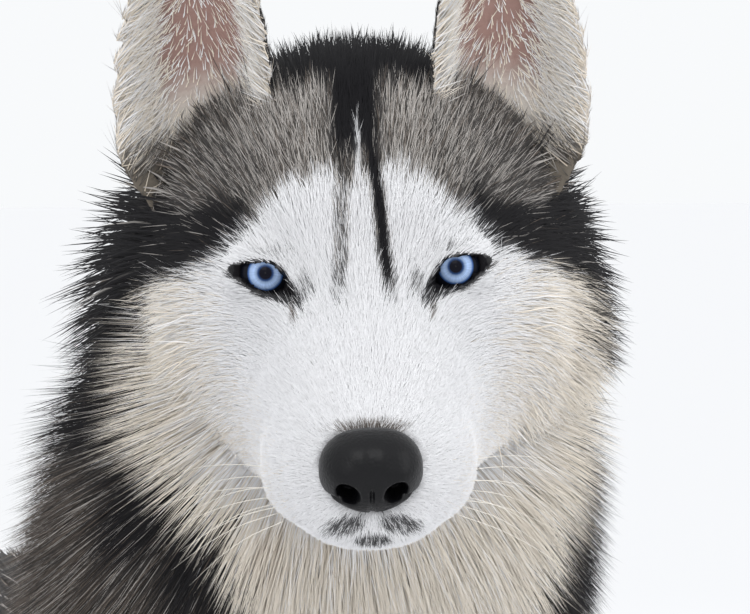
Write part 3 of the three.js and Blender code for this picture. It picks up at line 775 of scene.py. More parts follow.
def from_eye_plane(out, up, front, side):
    """World places from out, up and in front of an eye's middle."""
    c, s = math.cos(FACE_TIP), math.sin(FACE_TIP)
    local = np.stack([side * (out + EYE_OUT), EYE_BACK + up * s - front * c, up * c + front * s], -1)
    return head_to_world(local)


# Rings and points to a ring: of limbs and ears, of the head, and of the head's places that the skin reads
LIMB_GRID, HEAD_GRID, HEAD_PLACES = (60, 40), (120, 90), (90, 72)
BODY_VOXEL, HEAD_VOXEL = 4.6, 1.9  # grain of the skin in millimetres


def nearest(points, places):
    """Index of the place nearest to each point, from |b|^2 - 2ab, about 2000 points at a time."""
    middle = places.mean(0)
    a, b = (points - middle).astype(np.float32), (places - middle).astype(np.float32)
    square = (b**2).sum(1)
    chunks = np.array_split(a, len(a) // 2000 + 1)
    return np.concatenate([np.argmin(square - 2 * (chunk @ b.T), 1) for chunk in chunks])


def combed_lie(skin, lie, rounds=24):
    """Evens out the lie of the coat: each point takes the mean of its neighbours', round after round."""
    mesh = skin.data
    edges = np.empty(len(mesh.edges) * 2, np.int32)
    mesh.edges.foreach_get("vertices", edges)
    a, b = edges.reshape(-1, 2).T
    normals = np.empty(len(mesh.vertices) * 3, np.float32)
    mesh.vertices.foreach_get("normal", normals)
    normals = normals.reshape(-1, 3)
    for _ in range(rounds):
        total = [np.bincount(a, lie[b, k], len(lie)) + np.bincount(b, lie[a, k], len(lie)) for k in range(3)]
        lie = unit(lie + np.stack(total, 1))
        lie = unit(lie - normals * (lie * normals).sum(1, keepdims=True))
    return lie


def skin_attributes(skin):
    """Gives each point of the skin its part, its place on it and the way its hair lies."""
    points = vertices_of(skin)
    places, part, t, angle, along = [], [], [], [], []
    for index, (name, surface) in enumerate(PARTS.items()):
        part_t, part_angle = grid(*(HEAD_PLACES if name == "head" else LIMB_GRID))
        places.append(surface(part_t, part_angle))
        after, before = np.minimum(part_t + 0.01, 1), np.maximum(part_t - 0.01, 0)
        along.append(unit(surface(after, part_angle) - surface(before, part_angle)))
        part.append(np.full(len(part_t), index))
        t.append(part_t)
        angle.append(part_angle)
    part, t, angle, along = (np.concatenate(v) for v in (part, t, angle, along))
    near = nearest(points, np.concatenate(places))
    lie = along[near]
    head_index = PART_NAMES.index("head")
    on_head = part[near] == head_index
    local = world_to_head(points)
    # On the head the hair runs away from the nose, outwards round the eyes, and hangs a little on the cheeks
    away = unit(local - np.array([0, -NOSE_REACH + 4, NOSE_HEIGHT]))
    hang = smoothstep(np.abs(local[:, 0]), 30, 62) * smoothstep(20 - local[:, 2], -15, 25)
    away[:, 2] -= 0.75 * hang
    for side in (LEFT, RIGHT):
        from_eye = local - np.array([side * EYE_OUT, EYE_BACK, 0])
        pull = hump(np.linalg.norm(from_eye, axis=1), 24)[:, None]
        away = away * (1 - pull) + pull * (unit(from_eye) + [side * 0.5, 0.6, 0.1])
    lie = np.where(on_head[:, None], unit(away) @ HEAD_ROTATION.T, lie)
    # Over the ends of the chest and the rump, and at the tail's root, the hair hangs down
    for name, low, high in (("torso", -1, 0.14), ("torso", 0.9, 2), ("tail", -1, 0.12)):
        end = (part[near] == PART_NAMES.index(name)) & (t[near] > low) & (t[near] < high)
        lie[end] = unit(np.array([0, 0.35, -1.0]))
    lie = combed_lie(skin, lie)
    add_attribute(skin.data, "part", "INT", part[near])
    add_attribute(skin.data, "place", "FLOAT_VECTOR", np.stack([t[near], angle[near], 0 * t[near]], 1))
    add_attribute(skin.data, "lie", "FLOAT_VECTOR", lie)
    return points, part[near], t[near], angle[near]


class HUSKY_OT_skin(bpy.types.Operator):
    """Builds one skin under the coat, with the head fine enough for its lids and lips."""

    bl_idname = "husky.skin"
    bl_label = "Skin"

    def execute(self, context):
        limbs = [name for name in PART_NAMES if not name.startswith(("head", "ear"))]
        coarse = [tube(name, PARTS[name], *LIMB_GRID) for name in limbs] + [paw(name) for name in PAWS]
        body = fused(coarse, "skin", BODY_VOXEL, 3)
        fine = [tube("head", head_surface, *HEAD_GRID)]
        fine += [tube(name, PARTS[name], *LIMB_GRID) for name in PART_NAMES if name.startswith("ear")]
        fine += [lid_bulge(side) for side in (LEFT, RIGHT)]
        head = fused(fine, "head_skin", HEAD_VOXEL, 2)
        skin = join([body, head], "skin")
        skin.data.shade_smooth()
        points = vertices_of(skin)
        for side in (LEFT, RIGHT):
            share, out, up, front = eye_opening(points, side)
            distance = np.hypot(out, up)
            hollow = np.sqrt(np.maximum((EYE_RADIUS - 1.5) ** 2 - distance**2, 9))
            deep = np.where(distance < 8.5, np.minimum(front, hollow), front - 1.2)
            inside = (share < 1.0) & (front > 0)
            points = np.where(inside[:, None], from_eye_plane(out, up, deep, side), points)
        # The muzzle's tip is flattened under the nose leather
        local = world_to_head(points)
        under = np.hypot(local[:, 0] / 15.5, (local[:, 2] - NOSE_HEIGHT) / 12.5) < 1
        local[:, 1] = np.where(under, np.maximum(local[:, 1], -(NOSE_REACH - 18)), local[:, 1])
        set_vertices(skin, head_to_world(local))
        points, part, t, angle = skin_attributes(skin)
        roots, _ = palette(context.scene.husky_coat)
        # The skin takes the hair's root colours at three quarters: painted shade under the coat. The ears'
        # pink and the lids' black are their own colours.
        base = shades_at(points, part, t, angle) @ (0.75 * roots)
        cup = part_is(part, "ear") & (np.cos(angle) < 0)
        pink = cup * smoothstep(0.75 - np.abs(np.sin(angle)), 0, 0.3) * smoothstep(t, 0.25, 0.4)
        pink = 0.9 * pink[:, None]
        base = base * (1 - pink) + pink * np.array(linear("#8C6A62"))
        lids = np.minimum(eye_opening(points, LEFT)[0], eye_opening(points, RIGHT)[0]) < 1.12
        base[lids] = linear("#0E0D10")
        add_attribute(skin.data, "coat", "FLOAT_COLOR", np.concatenate([base, np.ones((len(base), 1))], 1))
        skin.data.materials.append(skin_material())
        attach(skin, "root")
        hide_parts(*FLESH)
        return {"FINISHED"}


# Paws and claws: place of each foot and its length
PAWS = {
    f"{end}paw_{name}": (side * across, place, length)
    for name, side in (("left", LEFT), ("right", RIGHT))
    for end, across, place, length in (("fore", FORE_X, FORE_Y - 28, 78), ("hind", HIND_X, HIND_Y - 14, 72))
}
TOES = [(-20, 0.5, 12), (-7.5, 0.72, 4), (7.5, 0.72, -4), (20, 0.5, -12)]
PAW_COAT = 2.2
PAW_HALF, PAW_MIDDLE = (27, 23), 19  # half width and half height of a foot, and its middle over the floor
TOE_HALF, TOE_MIDDLE, TOE_TIP = (9.8, 20, 13.8), 12.5, math.radians(14)
LID_RADIUS = 12.2
FLOOR_CLEARANCE = 0.4
SIDE_REACH = 142  # furthest that hair stands out from the middle of the model


def ball_points(t, angle):
    """Unit ball by latitude pi t and longitude, its poles along z."""
    ring = np.sin(math.pi * t)
    return np.stack([ring * np.cos(angle), ring * np.sin(angle), -np.cos(math.pi * t)], 1)


def paw(name):
    """A rounded foot and four toes, flat where it stands."""
    x, y, length = PAWS[name]

    def body(t, angle):
        half = np.array([PAW_HALF[0], length / 2, PAW_HALF[1]]) - PAW_COAT
        return ball_points(t, angle) * half + [x, y, PAW_MIDDLE]

    pieces = [tube("paw", body, 24, 30)]
    for across, ahead, turn in TOES:

        def toe(t, angle):
            local = ball_points(t, angle) * (np.array(TOE_HALF) - [PAW_COAT / 2, PAW_COAT, PAW_COAT])
            local = local @ turned(TOE_TIP, "x").T @ turned(math.radians(turn), "z").T
            return local + [x + across, y - ahead * length / 2, TOE_MIDDLE]

        pieces.append(tube("toe", toe, 16, 20))
    made = join(pieces, name)
    points = vertices_of(made)
    points[:, 2] = np.maximum(points[:, 2], FLOOR_CLEARANCE)
    set_vertices(made, points)
    return made


def lid_bulge(side):
    """The lids' swelling round the eyeball."""
    centre = np.array([side * EYE_OUT, EYE_BACK, 0.0])
    return tube("lid", lambda t, a: head_to_world(ball_points(t, a) * LID_RADIUS + centre), 30, 40)


def samples(skin, density, chosen, seed):
    """Random places on the skin: each triangle of the chosen parts gets its area times the density."""
    mesh = skin.data
    mesh.calc_loop_triangles()
    corners = np.empty(len(mesh.loop_triangles) * 3, np.int32)
    mesh.loop_triangles.foreach_get("vertices", corners)
    corners = corners.reshape(-1, 3)
    points = vertices_of(skin)
    normals = np.empty(len(mesh.vertices) * 3, np.float32)
    mesh.vertices.foreach_get("normal", normals)
    normals = normals.reshape(-1, 3)
    part = part_of(mesh)
    place = read_attribute(mesh, "place", 3)
    lie = read_attribute(mesh, "lie", 3)
    corners = corners[part_is(part[corners[:, 0]], chosen)]
    triangle = points[corners]
    cross = np.cross(triangle[:, 1] - triangle[:, 0], triangle[:, 2] - triangle[:, 0])
    area = 0.5 * np.linalg.norm(cross, axis=1)
    rng = np.random.default_rng(seed)
    first = corners[:, 0]
    wanted = area * density(triangle.mean(1), place[first, 0], place[first, 1])
    count = np.floor(wanted + rng.random(len(wanted))).astype(int)
    chosen_triangle = np.repeat(np.arange(len(corners)), count)
    u, v = rng.random((2, len(chosen_triangle)))
    flip = u + v > 1
    u, v = np.where(flip, 1 - u, u), np.where(flip, 1 - v, v)
    weights = np.stack([1 - u - v, u, v], 1)[..., None]
    picked = corners[chosen_triangle]
    return {
        "root": (points[picked] * weights).sum(1),
        "normal": unit((normals[picked] * weights).sum(1)),
        "lie": unit((lie[picked] * weights).sum(1)),
        "part": part[picked[:, 0]],
        "t": place[picked[:, 0], 0],
        "angle": place[picked[:, 0], 1],
        "rng": rng,
    }


def only(found, kept):
    """The sampled places for which kept is true, with the same random draws to come."""
    return {key: value[kept] if isinstance(value, np.ndarray) else value for key, value in found.items()}


def part_of(mesh):
    """Each point's part number."""
    values = np.empty(len(mesh.vertices), np.int32)
    mesh.attributes["part"].data.foreach_get("value", values)
    return values


def combed(root, direction, length, share, size, seed):
    """Pulls the tips of neighbouring tufts together, so that they form locks.

    Tufts that share a cell of a wavering grid of the given size move their tips a share of the way to the
    cell's mean tip.
    """
    wobble = np.stack([waves(root, 3.1 * size, seed + k) for k in range(3)], 1) * 0.45
    cell = np.floor(root / size + wobble).astype(np.int64)
    key = (cell * [73856093, 19349663, 83492791]).sum(1)
    _, cell, count = np.unique(key, return_inverse=True, return_counts=True)
    tip = root + direction * length[:, None]
    goal = np.stack([np.bincount(cell, tip[:, k]) / count for k in range(3)], 1)[cell]
    return unit(tip + (goal - tip) * share - root)


BEND_AT = 0.55  # share of a tuft's length where it may bend, and by whose place it is coloured
TONE = 0.1  # how much lighter or darker than its kind a tuft may be
UV_PATCH = 0.0015


def tufts(name, found, length, width, lift, settings, comb, droop=0.0, bent=False):
    """Solid tufts: three-sided spikes from the skin that follow the lie of the coat.

    A spike leaves the skin at the lift angle. It is straight (4 faces), or bent once with a tip that droops
    (10 faces). Colours run from root to tip, and each tuft has a small patch of the OFBake map at its root's
    place on its part: angle across and t up, one band for each part.
    """
    root, normal, rng = found["root"], found["normal"], found["rng"]
    count = len(root)
    lie = found["lie"] - normal * (found["lie"] * normal).sum(1, keepdims=True)
    lie = unit(unit(lie) + 0.22 * rng.normal(size=(count, 3)))
    lie = unit(lie - normal * (lie * normal).sum(1, keepdims=True))
    rise = lift * rng.uniform(0.75, 1.25, count)
    direction = unit(lie * np.cos(rise)[:, None] + normal * np.sin(rise)[:, None])
    # Locks waver in another way on each piece
    direction = combed(root, direction, length, *comb, count % 89)
    # No tip stands further out than the coat may
    start, end = (np.abs(place[:, 0] + SHIFT[0]) for place in (root, root + direction * length[:, None]))
    within = np.clip((SIDE_REACH - start) / np.maximum(end - start, 1), 0.3, 1)
    length = length * np.where(end > SIDE_REACH, within, 1)
    across = unit(np.cross(direction, normal))
    up = np.cross(across, direction)
    base = root - direction * 0.8
    half = (width / 2)[:, None]
    ring = [across * half, -across * half, up * half * 0.7]
    tip = base + direction * (length + 0.8)[:, None]
    layers = [np.stack([base + r for r in ring], 1)]
    if bent:
        bend = np.asarray(droop)[..., None] * length[:, None] * (np.array([0, 0, -1.0]) - 0.35 * normal)
        tip = tip + bend
        middle = base + direction * (BEND_AT * length)[:, None] + 0.18 * bend
        layers.append(np.stack([middle + r * 0.72 for r in ring], 1))
    layers.append(tip[:, None])
    points = np.concatenate(layers, 1)
    points[..., 2] = np.maximum(points[..., 2], FLOOR_CLEARANCE)
    each = points.shape[1]
    last, top = each - 1, each - 4
    ring_faces = [(0, 1, 2)]
    if bent:
        ring_faces += [(0, 3, 4), (0, 4, 1), (1, 4, 5), (1, 5, 2), (2, 5, 3), (2, 3, 0)]
    ring_faces += [(top + 1, top, last), (top + 2, top + 1, last), (top, top + 2, last)]
    faces = (np.array(ring_faces)[None, :, ::-1] + np.arange(count)[:, None, None] * each).reshape(-1, 3)
    # A tuft is coloured by where its middle comes to lie, so that markings keep their place under long hair
    middle = root + direction * (BEND_AT * length)[:, None]
    shades = shades_at(middle, found["part"], found["t"], found["angle"])
    # Each tuft takes mostly one kind of hair, drawn by the shares there
    drawn = (rng.random((count, 1)) > np.cumsum(shades, 1)).sum(1).clip(0, KINDS - 1)
    roots, tips = palette(settings)
    blend = 0.7
    pick = np.eye(KINDS)[drawn] * blend + shades * (1 - blend)
    light = rng.uniform(1 - TONE, 1 + TONE * 0.3, (count, 1))
    root_colour, tip_colour = (pick @ roots) * light, (pick @ tips) * light
    banded = ((drawn == GREY) | (drawn == BROWN))[:, None] & (rng.random((count, 1)) < 0.35)
    tip_colour = np.where(banded, root_colour * 0.8, tip_colour)
    # Each tuft runs from its root colour to its tip colour, so white and cream tufts carry painted shade at
    # the root
    mixes = np.array([0.0] * 3 + [0.6] * 3 * bent + [1.0])[None, :, None]
    colours = root_colour[:, None] * (1 - mixes) + tip_colour[:, None] * mixes
    colours = np.concatenate([colours, np.ones((count, each, 1))], 2).clip(0, 1)
    shaded = [unit(normal * 1.0 + unit(r) * 0.42) for r in ring]
    normals = shaded + shaded * bent + [normal]
    normals = np.stack(normals, 1).reshape(-1, 3)
    across_map = (found["angle"] / (2 * math.pi)) % 1
    up_map = (found["part"] + 0.03 + 0.94 * found["t"]) / len(PART_NAMES)
    centre = np.stack([across_map, up_map], 1)
    patch = np.stack([np.cos(np.arange(each) * 2.1), np.sin(np.arange(each) * 2.1)], 1) * UV_PATCH
    uv = (centre[:, None] * 0.99 + 0.004 + patch).reshape(-1, 2)
    return coat_object(name, points.reshape(-1, 3), faces, colours.reshape(-1, 4), normals, uv)


def coat_object(name, points, faces, colours, normals, uv):
    """One joined mesh of tufts with its colours, softened normals and OFBake map."""
    mesh = bpy.data.meshes.new(name)
    mesh.vertices.add(len(points))
    mesh.vertices.foreach_set("co", ((points + SHIFT) * MM).astype(np.float32).ravel())
    mesh.loops.add(faces.size)
    mesh.loops.foreach_set("vertex_index", faces.astype(np.int32).ravel())
    mesh.polygons.add(len(faces))
    mesh.polygons.foreach_set("loop_start", np.arange(0, faces.size, 3, dtype=np.int32))
    mesh.update(calc_edges=True)
    mesh.shade_smooth()
    add_attribute(mesh, "coat", "FLOAT_COLOR", colours)
    layer = mesh.uv_layers.new(name="OFBake")
    layer.data.foreach_set("uv", uv[faces.ravel()].astype(np.float32).ravel())
    mesh.normals_split_custom_set_from_vertices(normals.astype(np.float32))
    mesh.materials.append(bpy.data.materials.get("guard_hair") or coat_material("guard_hair"))
    made = bpy.data.objects.new(name, mesh)
    bpy.context.scene.collection.objects.link(made)
    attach(made, "root")
    return made


def bare(points):
    """True on the eyes' openings and where nose leather covers the skin."""
    open_eye = np.minimum(eye_opening(points, LEFT)[0], eye_opening(points, RIGHT)[0]) < 1.14
    local = world_to_head(points)
    away = (local - NOSE_MIDDLE) / NOSE_COVER
    return open_eye | ((away**2).sum(1) < 1)


class HUSKY_OT_face(bpy.types.Operator):
    """Sets the short, dense hair of the face."""

    bl_idname = "husky.face"
    bl_label = "Face hair"

    def execute(self, context):
        settings = context.scene.husky_coat
        skin = bpy.data.objects["skin"]
        for index, (side, upper) in enumerate(((LEFT, 0), (LEFT, 1), (RIGHT, 0), (RIGHT, 1))):

            def density(points, t, angle):
                """Tufts per square millimetre of this quarter, most on the short-haired muzzle."""
                local = world_to_head(points)
                mine = (side * local[:, 0] > 0) & ((local[:, 2] > -14) == upper) & (local[:, 1] < 74)
                return settings.thickness * mine * curve(
                    local[:, 1], [(-90, 4.6), (-30, 3.6), (0, 2.1), (40, 1.5), (70, 1.3)]
                )

            found = samples(skin, density, "head", settings.seed + index)
            found = only(found, ~bare(found["root"]))
            local = world_to_head(found["root"])
            back, out, up = local[:, 1], np.abs(local[:, 0]), local[:, 2]
            length = curve(back, [(-90, 2.6), (-60, 4), (-20, 5.5), (0, 8), (25, 13), (50, 20), (75, 26)])
            cheek = 12 * smoothstep(out, 46, 72) * smoothstep(-up, -20, 25)
            length += cheek + 8 * smoothstep(back, 5, 30) * (up < -30)
            from_eyes = [np.hypot(*eye_opening(found["root"], eye)[1:3]) for eye in (LEFT, RIGHT)]
            length *= 1 - 0.5 * hump(np.minimum(*from_eyes), 20)
            length *= found["rng"].uniform(0.7, 1.2, len(length))
            width = curve(length, [(2, 0.3), (5, 0.38), (12, 0.55), (20, 0.7), (34, 0.9)])
            lift = curve(back, [(-90, 0.34), (-20, 0.34), (20, 0.4), (70, 0.52)])
            lift += 0.25 * smoothstep(up, 42, 62)
            tufts(f"face_hair_{index + 1}", found, length, width, lift, settings, (0.3, 3.2))
        return {"FINISHED"}


class HUSKY_OT_ruff(bpy.types.Operator):
    """Sets the long hair of the nape, cheeks, ruff and chest, and the ears' fringes."""

    bl_idname = "husky.ruff"
    bl_label = "Ruff and ears"

    def execute(self, context):
        settings = context.scene.husky_coat
        skin = bpy.data.objects["skin"]

        def nape(points, t, angle):
            """The back of the skull, behind the short hair of the face."""
            return np.where(world_to_head(points)[:, 1] > 52, 0.33, 0) * settings.thickness

        found = samples(skin, nape, "head", 21)
        out, back, up = world_to_head(found["root"]).T
        length = curve(back, [(40, 20), (70, 28), (110, 34)])
        length += 9 * smoothstep(-up, -35, 30) * smoothstep(np.abs(out), 50, 75)
        # Below the ears the ruff stands out, most on the side that the head is turned to
        full = smoothstep(-out, 40, 70) + 0.35 * smoothstep(out, 40, 70)
        full *= hump(up + 22, 75)
        length = (length + 20 * full) * found["rng"].uniform(0.8, 1.15, len(length))
        lift = 0.55 + 0.45 * smoothstep(up, 42, 62) + 0.1 * full
        width = np.full(len(length), 1.0)
        tufts("nape_hair", found, length, width, lift, settings, (0.4, 7), droop=0.1, bent=True)

        for name, fine, count, size in (("ruff_hair", True, 0.9, 0.8), ("neck_hair", False, 0.11, 1.9)):

            def neck(points, t, angle):
                """Fine hair over the throat and the sides of the neck, and coarser hair behind and below."""
                throat = (t < 0.58) & (np.cos(angle) > -0.35)
                return np.where(throat == fine, count, 0) * settings.thickness

            found = samples(skin, neck, "neck", 33 + fine)
            turned_to = -np.sin(found["angle"])
            full = smoothstep(turned_to, 0.2, 0.9) + 0.5 * smoothstep(-turned_to, 0.2, 0.9)
            length = found["rng"].uniform(28, 44, len(full)) + 13 * full
            droop = found["rng"].uniform(0.05, 0.2, len(full))
            width, lift = np.full(len(full), size), 0.48 + 0.2 * full
            tufts(name, found, length, width, lift, settings, (0.5, 8), droop=droop, bent=not fine)

        def cheeks(points, t, angle):
            """The lower cheeks, from below the eyes back to the ruff."""
            x, back, up = world_to_head(points).T
            low = smoothstep(np.abs(x), 40, 62) * smoothstep(-up, 0, 35)
            return settings.thickness * 0.6 * low * smoothstep(back, 0, 30)

        found = samples(skin, cheeks, "head", 37)
        length = found["rng"].uniform(20, 31, len(found["t"]))
        droop = found["rng"].uniform(0.02, 0.16, len(length))
        width, lift = np.full(len(length), 0.58), np.full(len(length), 0.34)
        tufts("cheek_hair", found, length, width, lift, settings, (0.4, 6), droop=droop, bent=True)

        def ears(points, t, angle):
            """The ears, from where they leave the head's long hair."""
            return np.where(t > 0.15, 1.3, 0.1) * settings.thickness

        found = samples(skin, ears, "ear", 45)
        inner = np.cos(found["angle"]) < 0.05
        edge = smoothstep(np.abs(np.sin(found["angle"])), 0.35, 0.95)
        length = np.where(inner, 5 + 7 * edge, 4) * found["rng"].uniform(0.7, 1.25, len(inner))
        share = 0.16 + 0.9 * edge + 0.5 * (found["t"] > 0.75)
        keep = ~inner | (found["rng"].random(len(inner)) < share)
        # The fringe leans in over the cup from both edges
        side = np.where(found["part"] == PART_NAMES.index("ear_left"), LEFT, RIGHT)
        lean = -np.sin(found["angle"])[:, None] * (side[:, None] * HEAD_ROTATION[:, 0])
        found["lie"] = unit(0.7 * found["lie"] + 0.9 * lean * inner[:, None])
        found, length, lift = only(found, keep), length[keep], np.where(inner, 0.36, 0.2)[keep]
        tufts("ear_hair", found, length, np.full(len(length), 0.46), lift, settings, (0.12, 3))
        return {"FINISHED"}


class HUSKY_OT_coat(bpy.types.Operator):
    """Sets the coat of the trunk, legs and tail."""

    bl_idname = "husky.coat"
    bl_label = "Body coat"

    def execute(self, context):
        settings = context.scene.husky_coat
        skin = bpy.data.objects["skin"]

        def evenly(count):
            """The same number of tufts per square millimetre all over."""
            return lambda points, t, angle: count * settings.thickness + 0 * t

        def down_leg(points, t, angle):
            """Thicker towards the foot, as the hair gets shorter."""
            return curve(t, [(0, 0.05), (0.35, 0.07), (0.6, 0.18), (1, 0.5)]) * settings.thickness

        found = samples(skin, evenly(0.057), "torso", 51)
        length = found["rng"].uniform(34, 46, len(found["t"]))
        width, lift = np.full(len(length), 2.3), np.full(len(length), 0.34)
        tufts("trunk_coat", found, length, width, lift, settings, (0.35, 11), droop=0.06, bent=True)

        for name, seed in (("foreleg", 61), ("hindleg", 71)):
            found = samples(skin, down_leg, name, seed)
            found = only(found, found["root"][:, 2] > 3)
            behind = smoothstep(-np.cos(found["angle"]), 0.2, 0.9)
            length = curve(found["t"], [(0, 34), (0.3, 26), (0.55, 15), (0.85, 9), (1, 6)])
            length *= (1 + 0.6 * behind * (found["t"] < 0.8)) * found["rng"].uniform(0.8, 1.15, len(length))
            width = curve(found["t"], [(0, 2.8), (0.4, 2.2), (0.7, 1.4), (1, 0.9)])
            tufts(name + "_coat", found, length, width, np.full(len(length), 0.36), settings, (0.3, 5))

        found = samples(skin, evenly(0.17), "tail", 81)
        length = found["rng"].uniform(38, 54, len(found["t"]))
        length *= curve(found["t"], [(0, 0.7), (0.2, 1), (0.8, 0.9), (1, 0.5)])
        width, lift = np.full(len(length), 2.0), np.full(len(length), 0.6)
        tufts("tail_brush", found, length, width, lift, settings, (0.4, 7), droop=0.08, bent=True)
        return {"FINISHED"}


# Eyes


class HuskyFace(bpy.types.PropertyGroup):
    """Sizes and colours of the eyes and nose."""

    iris: FloatVectorProperty(
        name="Iris", description="Pale blue", subtype="COLOR", default=linear("#A6BFE6")
    )
    iris_rim: FloatVectorProperty(
        name="Iris rim", description="Deep blue", subtype="COLOR", default=linear("#3D5F98")
    )
    iris_width: FloatProperty(
        name="Iris width", description="Across the iris", default=12.9 * MM, unit="LENGTH"
    )
    pupil_width: FloatProperty(
        name="Pupil width", description="Across the pupil", default=4.6 * MM, unit="LENGTH"
    )
    leather: FloatVectorProperty(
        name="Leather", description="Nose and lids", subtype="COLOR", default=linear("#09090C")
    )


RIM_ON_MAP = 0.4  # where the iris ends on the polar map
CORNEA_RISE = 0.9  # how far the cornea swells over the ball


def eye_material(settings):
    """Wet eye: noise fibres along the polar map, a dark pupil and rim, and a thin clear coat of tears."""
    material, tree = new_material("wet_iris")
    place = node(tree, "ShaderNodeUVMap", uv_map="polar")
    split = node(tree, "ShaderNodeSeparateXYZ", in_Vector=place.outputs["UV"])
    fibre_place = node(tree, "ShaderNodeMapping", in_Vector=place.outputs["UV"], in_Scale=(60, 2.5, 1))
    fibres = node(tree, "ShaderNodeTexNoise", in_Vector=fibre_place.outputs[0], in_Scale=1.0, in_Detail=4.0)
    ramp = node(tree, "ShaderNodeValToRGB", in_Fac=split.outputs["Y"])
    pupil_at = RIM_ON_MAP * settings.pupil_width / settings.iris_width
    pale, deep = np.array(settings.iris), np.array(settings.iris_rim)
    # From the pupil's middle out: pupil, its soft edge, the pale iris, its deep rim and the dark beyond
    stops = [
        (0.0, (0.003, 0.003, 0.006)),
        (pupil_at - 0.02, (0.004, 0.004, 0.01)),
        (pupil_at + 0.02, 0.5 * deep),
        (pupil_at + 0.06, 0.62 * pale),
        (RIM_ON_MAP - 0.14, pale),
        (RIM_ON_MAP - 0.06, 0.8 * pale),
        (RIM_ON_MAP - 0.015, deep),
        (RIM_ON_MAP + 0.015, (0.006, 0.007, 0.012)),
    ]
    elements = ramp.color_ramp.elements
    while len(elements) < len(stops):
        elements.new(0.5)
    for element, (at, colour) in zip(elements, stops):
        element.position, element.color = at, (*colour, 1)
    streaks = node(
        tree, "ShaderNodeMapRange", in_Value=fibres.outputs["Fac"], in_From_Min=0.3, in_From_Max=0.7,
        in_To_Min=0.78, in_To_Max=1.12,
    )
    mixed = node(
        tree, "ShaderNodeMix", data_type="RGBA", blend_type="MULTIPLY", in_0=1.0, in_6=ramp.outputs["Color"],
        in_7=streaks.outputs[0],
    )
    finish_material(
        tree, Base_Color=mixed.outputs[2], Roughness=0.4, Specular_IOR_Level=0.03, Coat_Weight=0.2,
        Coat_Roughness=0.03, Coat_IOR=1.38,
    )
    return material


def gaze(side):
    """Rotation of an eye that looks at a viewer in front, above the face's own level by the face's tip."""
    return turned(math.radians(-side * 1.5), "z") @ turned(-FACE_TIP, "x")


class HUSKY_OT_eyes(bpy.types.Operator):
    """Builds the eyeballs with their irises, and the black rims of the lids."""

    bl_idname = "husky.eyes"
    bl_label = "Eyes"

    def execute(self, context):
        settings = context.scene.husky_face
        wet = eye_material(settings)
        leather = leather_material("lid_leather", settings.leather, 0.4)
        for name, side in (("left", LEFT), ("right", RIGHT)):
            centre = np.array([side * EYE_OUT, EYE_BACK, 0.0])
            edge = math.asin(settings.iris_width / MM / 2 / EYE_RADIUS)

            def ball(t, angle):
                """Ball about the gaze, with the cornea swelling over the iris."""
                tilt = math.pi * t
                radius = EYE_RADIUS - 0.5 + CORNEA_RISE * hump(tilt / edge, 1.15)
                ring = np.sin(tilt) * radius
                local = np.stack([ring * np.cos(angle), -np.cos(tilt) * radius, ring * np.sin(angle)], 1)
                return head_to_world(local @ gaze(side).T + centre)

            rows, columns = 64, 64
            eye = tube("eye_ball_" + name, ball, rows, columns, wet)
            layer = eye.data.uv_layers.new(name="polar")
            loops = np.empty(len(eye.data.loops), np.int32)
            eye.data.loops.foreach_get("vertex_index", loops)
            t, angle = grid(rows, columns)
            tilt = math.pi * t
            # The polar map holds the angle round the gaze, mirrored so that it closes, and the way out
            from_pupil = RIM_ON_MAP * np.sin(np.minimum(tilt, math.pi / 2)) / math.sin(edge)
            uv = np.stack([np.abs(angle / math.pi - 1), from_pupil], 1)
            layer.data.foreach_set("uv", uv[loops].astype(np.float32).ravel())
            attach(eye, "root")
            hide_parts("eye_" + name)

            seen = eye_opening(vertices_of(bpy.data.objects["skin"]), side)
            near = (np.hypot(seen[1], seen[2]) < 26) & (seen[3] > 0) & (seen[0] > 1.02)
            around, level = np.stack([seen[1][near], seen[2][near]], 1), seen[3][near]

            def rim(t, angle):
                """Lid rim: a flat ring from the eyeball out to the mean level of the skin near it."""
                turn = 2 * math.pi * t
                way = np.stack([np.cos(turn), np.sin(turn)], 1)
                radius = outline_radius(np.degrees(turn))[:, None]
                inner, outer = way * np.minimum(radius * 0.97, 9.2), way * (radius + 1.3)
                weight = np.exp(-((outer[:, None] - around[None]) ** 2).sum(2) / 2.4) + 1e-12
                skin_level = (weight @ level) / weight.sum(1) + 0.2
                ball_level = np.sqrt(np.maximum((EYE_RADIUS - 0.25) ** 2 - (inner**2).sum(1), 4))
                across = (1 - np.cos(angle)) / 2
                out, up = (inner + (outer - inner) * across[:, None]).T
                front = ball_level + (skin_level - ball_level) * across + 0.75 * np.sin(angle) - 0.2
                return from_eye_plane(out, up, front, side)

            lid = ring_tube("lid_rim_" + name, rim, 120, 16, leather)
            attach(lid, "root")
        return {"FINISHED"}


def ring_tube(name, surface, rows, columns, material):
    """A closed ring of surface(t, angle), joined at its ends."""
    t = np.repeat(np.arange(rows) / rows, columns)
    angle = np.tile(np.arange(columns) / columns * 2 * math.pi, rows)
    i, j = np.meshgrid(np.arange(rows), np.arange(columns), indexing="ij")
    k, m = (j + 1) % columns, (i + 1) % rows
    faces = np.stack([i * columns + j, i * columns + k, m * columns + k, m * columns + j], -1).reshape(-1, 4)
    return face_outwards(new_object(name, surface(t, angle), faces.tolist(), material))


def leather_material(name, colour, roughness):
    """Moist hairless skin: pebbled at 0.9 mm, with a thin wet coat."""
    material, tree = new_material(name)
    place = node(tree, "ShaderNodeTexCoord")
    pebbles = node(
        tree, "ShaderNodeTexVoronoi", feature="SMOOTH_F1", in_Vector=place.outputs["Object"],
        in_Scale=1 / (0.9 * MM),
    )
    bump = node(
        tree, "ShaderNodeBump", in_Height=pebbles.outputs["Distance"], in_Strength=0.5, in_Distance=0.3 * MM,
        invert=True,
    )
    finish_material(
        tree, Base_Color=(*colour, 1), Roughness=roughness, Specular_IOR_Level=0.17, Coat_Weight=0.12,
        Coat_Roughness=0.2, Normal=bump.outputs["Normal"],
    )
    return material


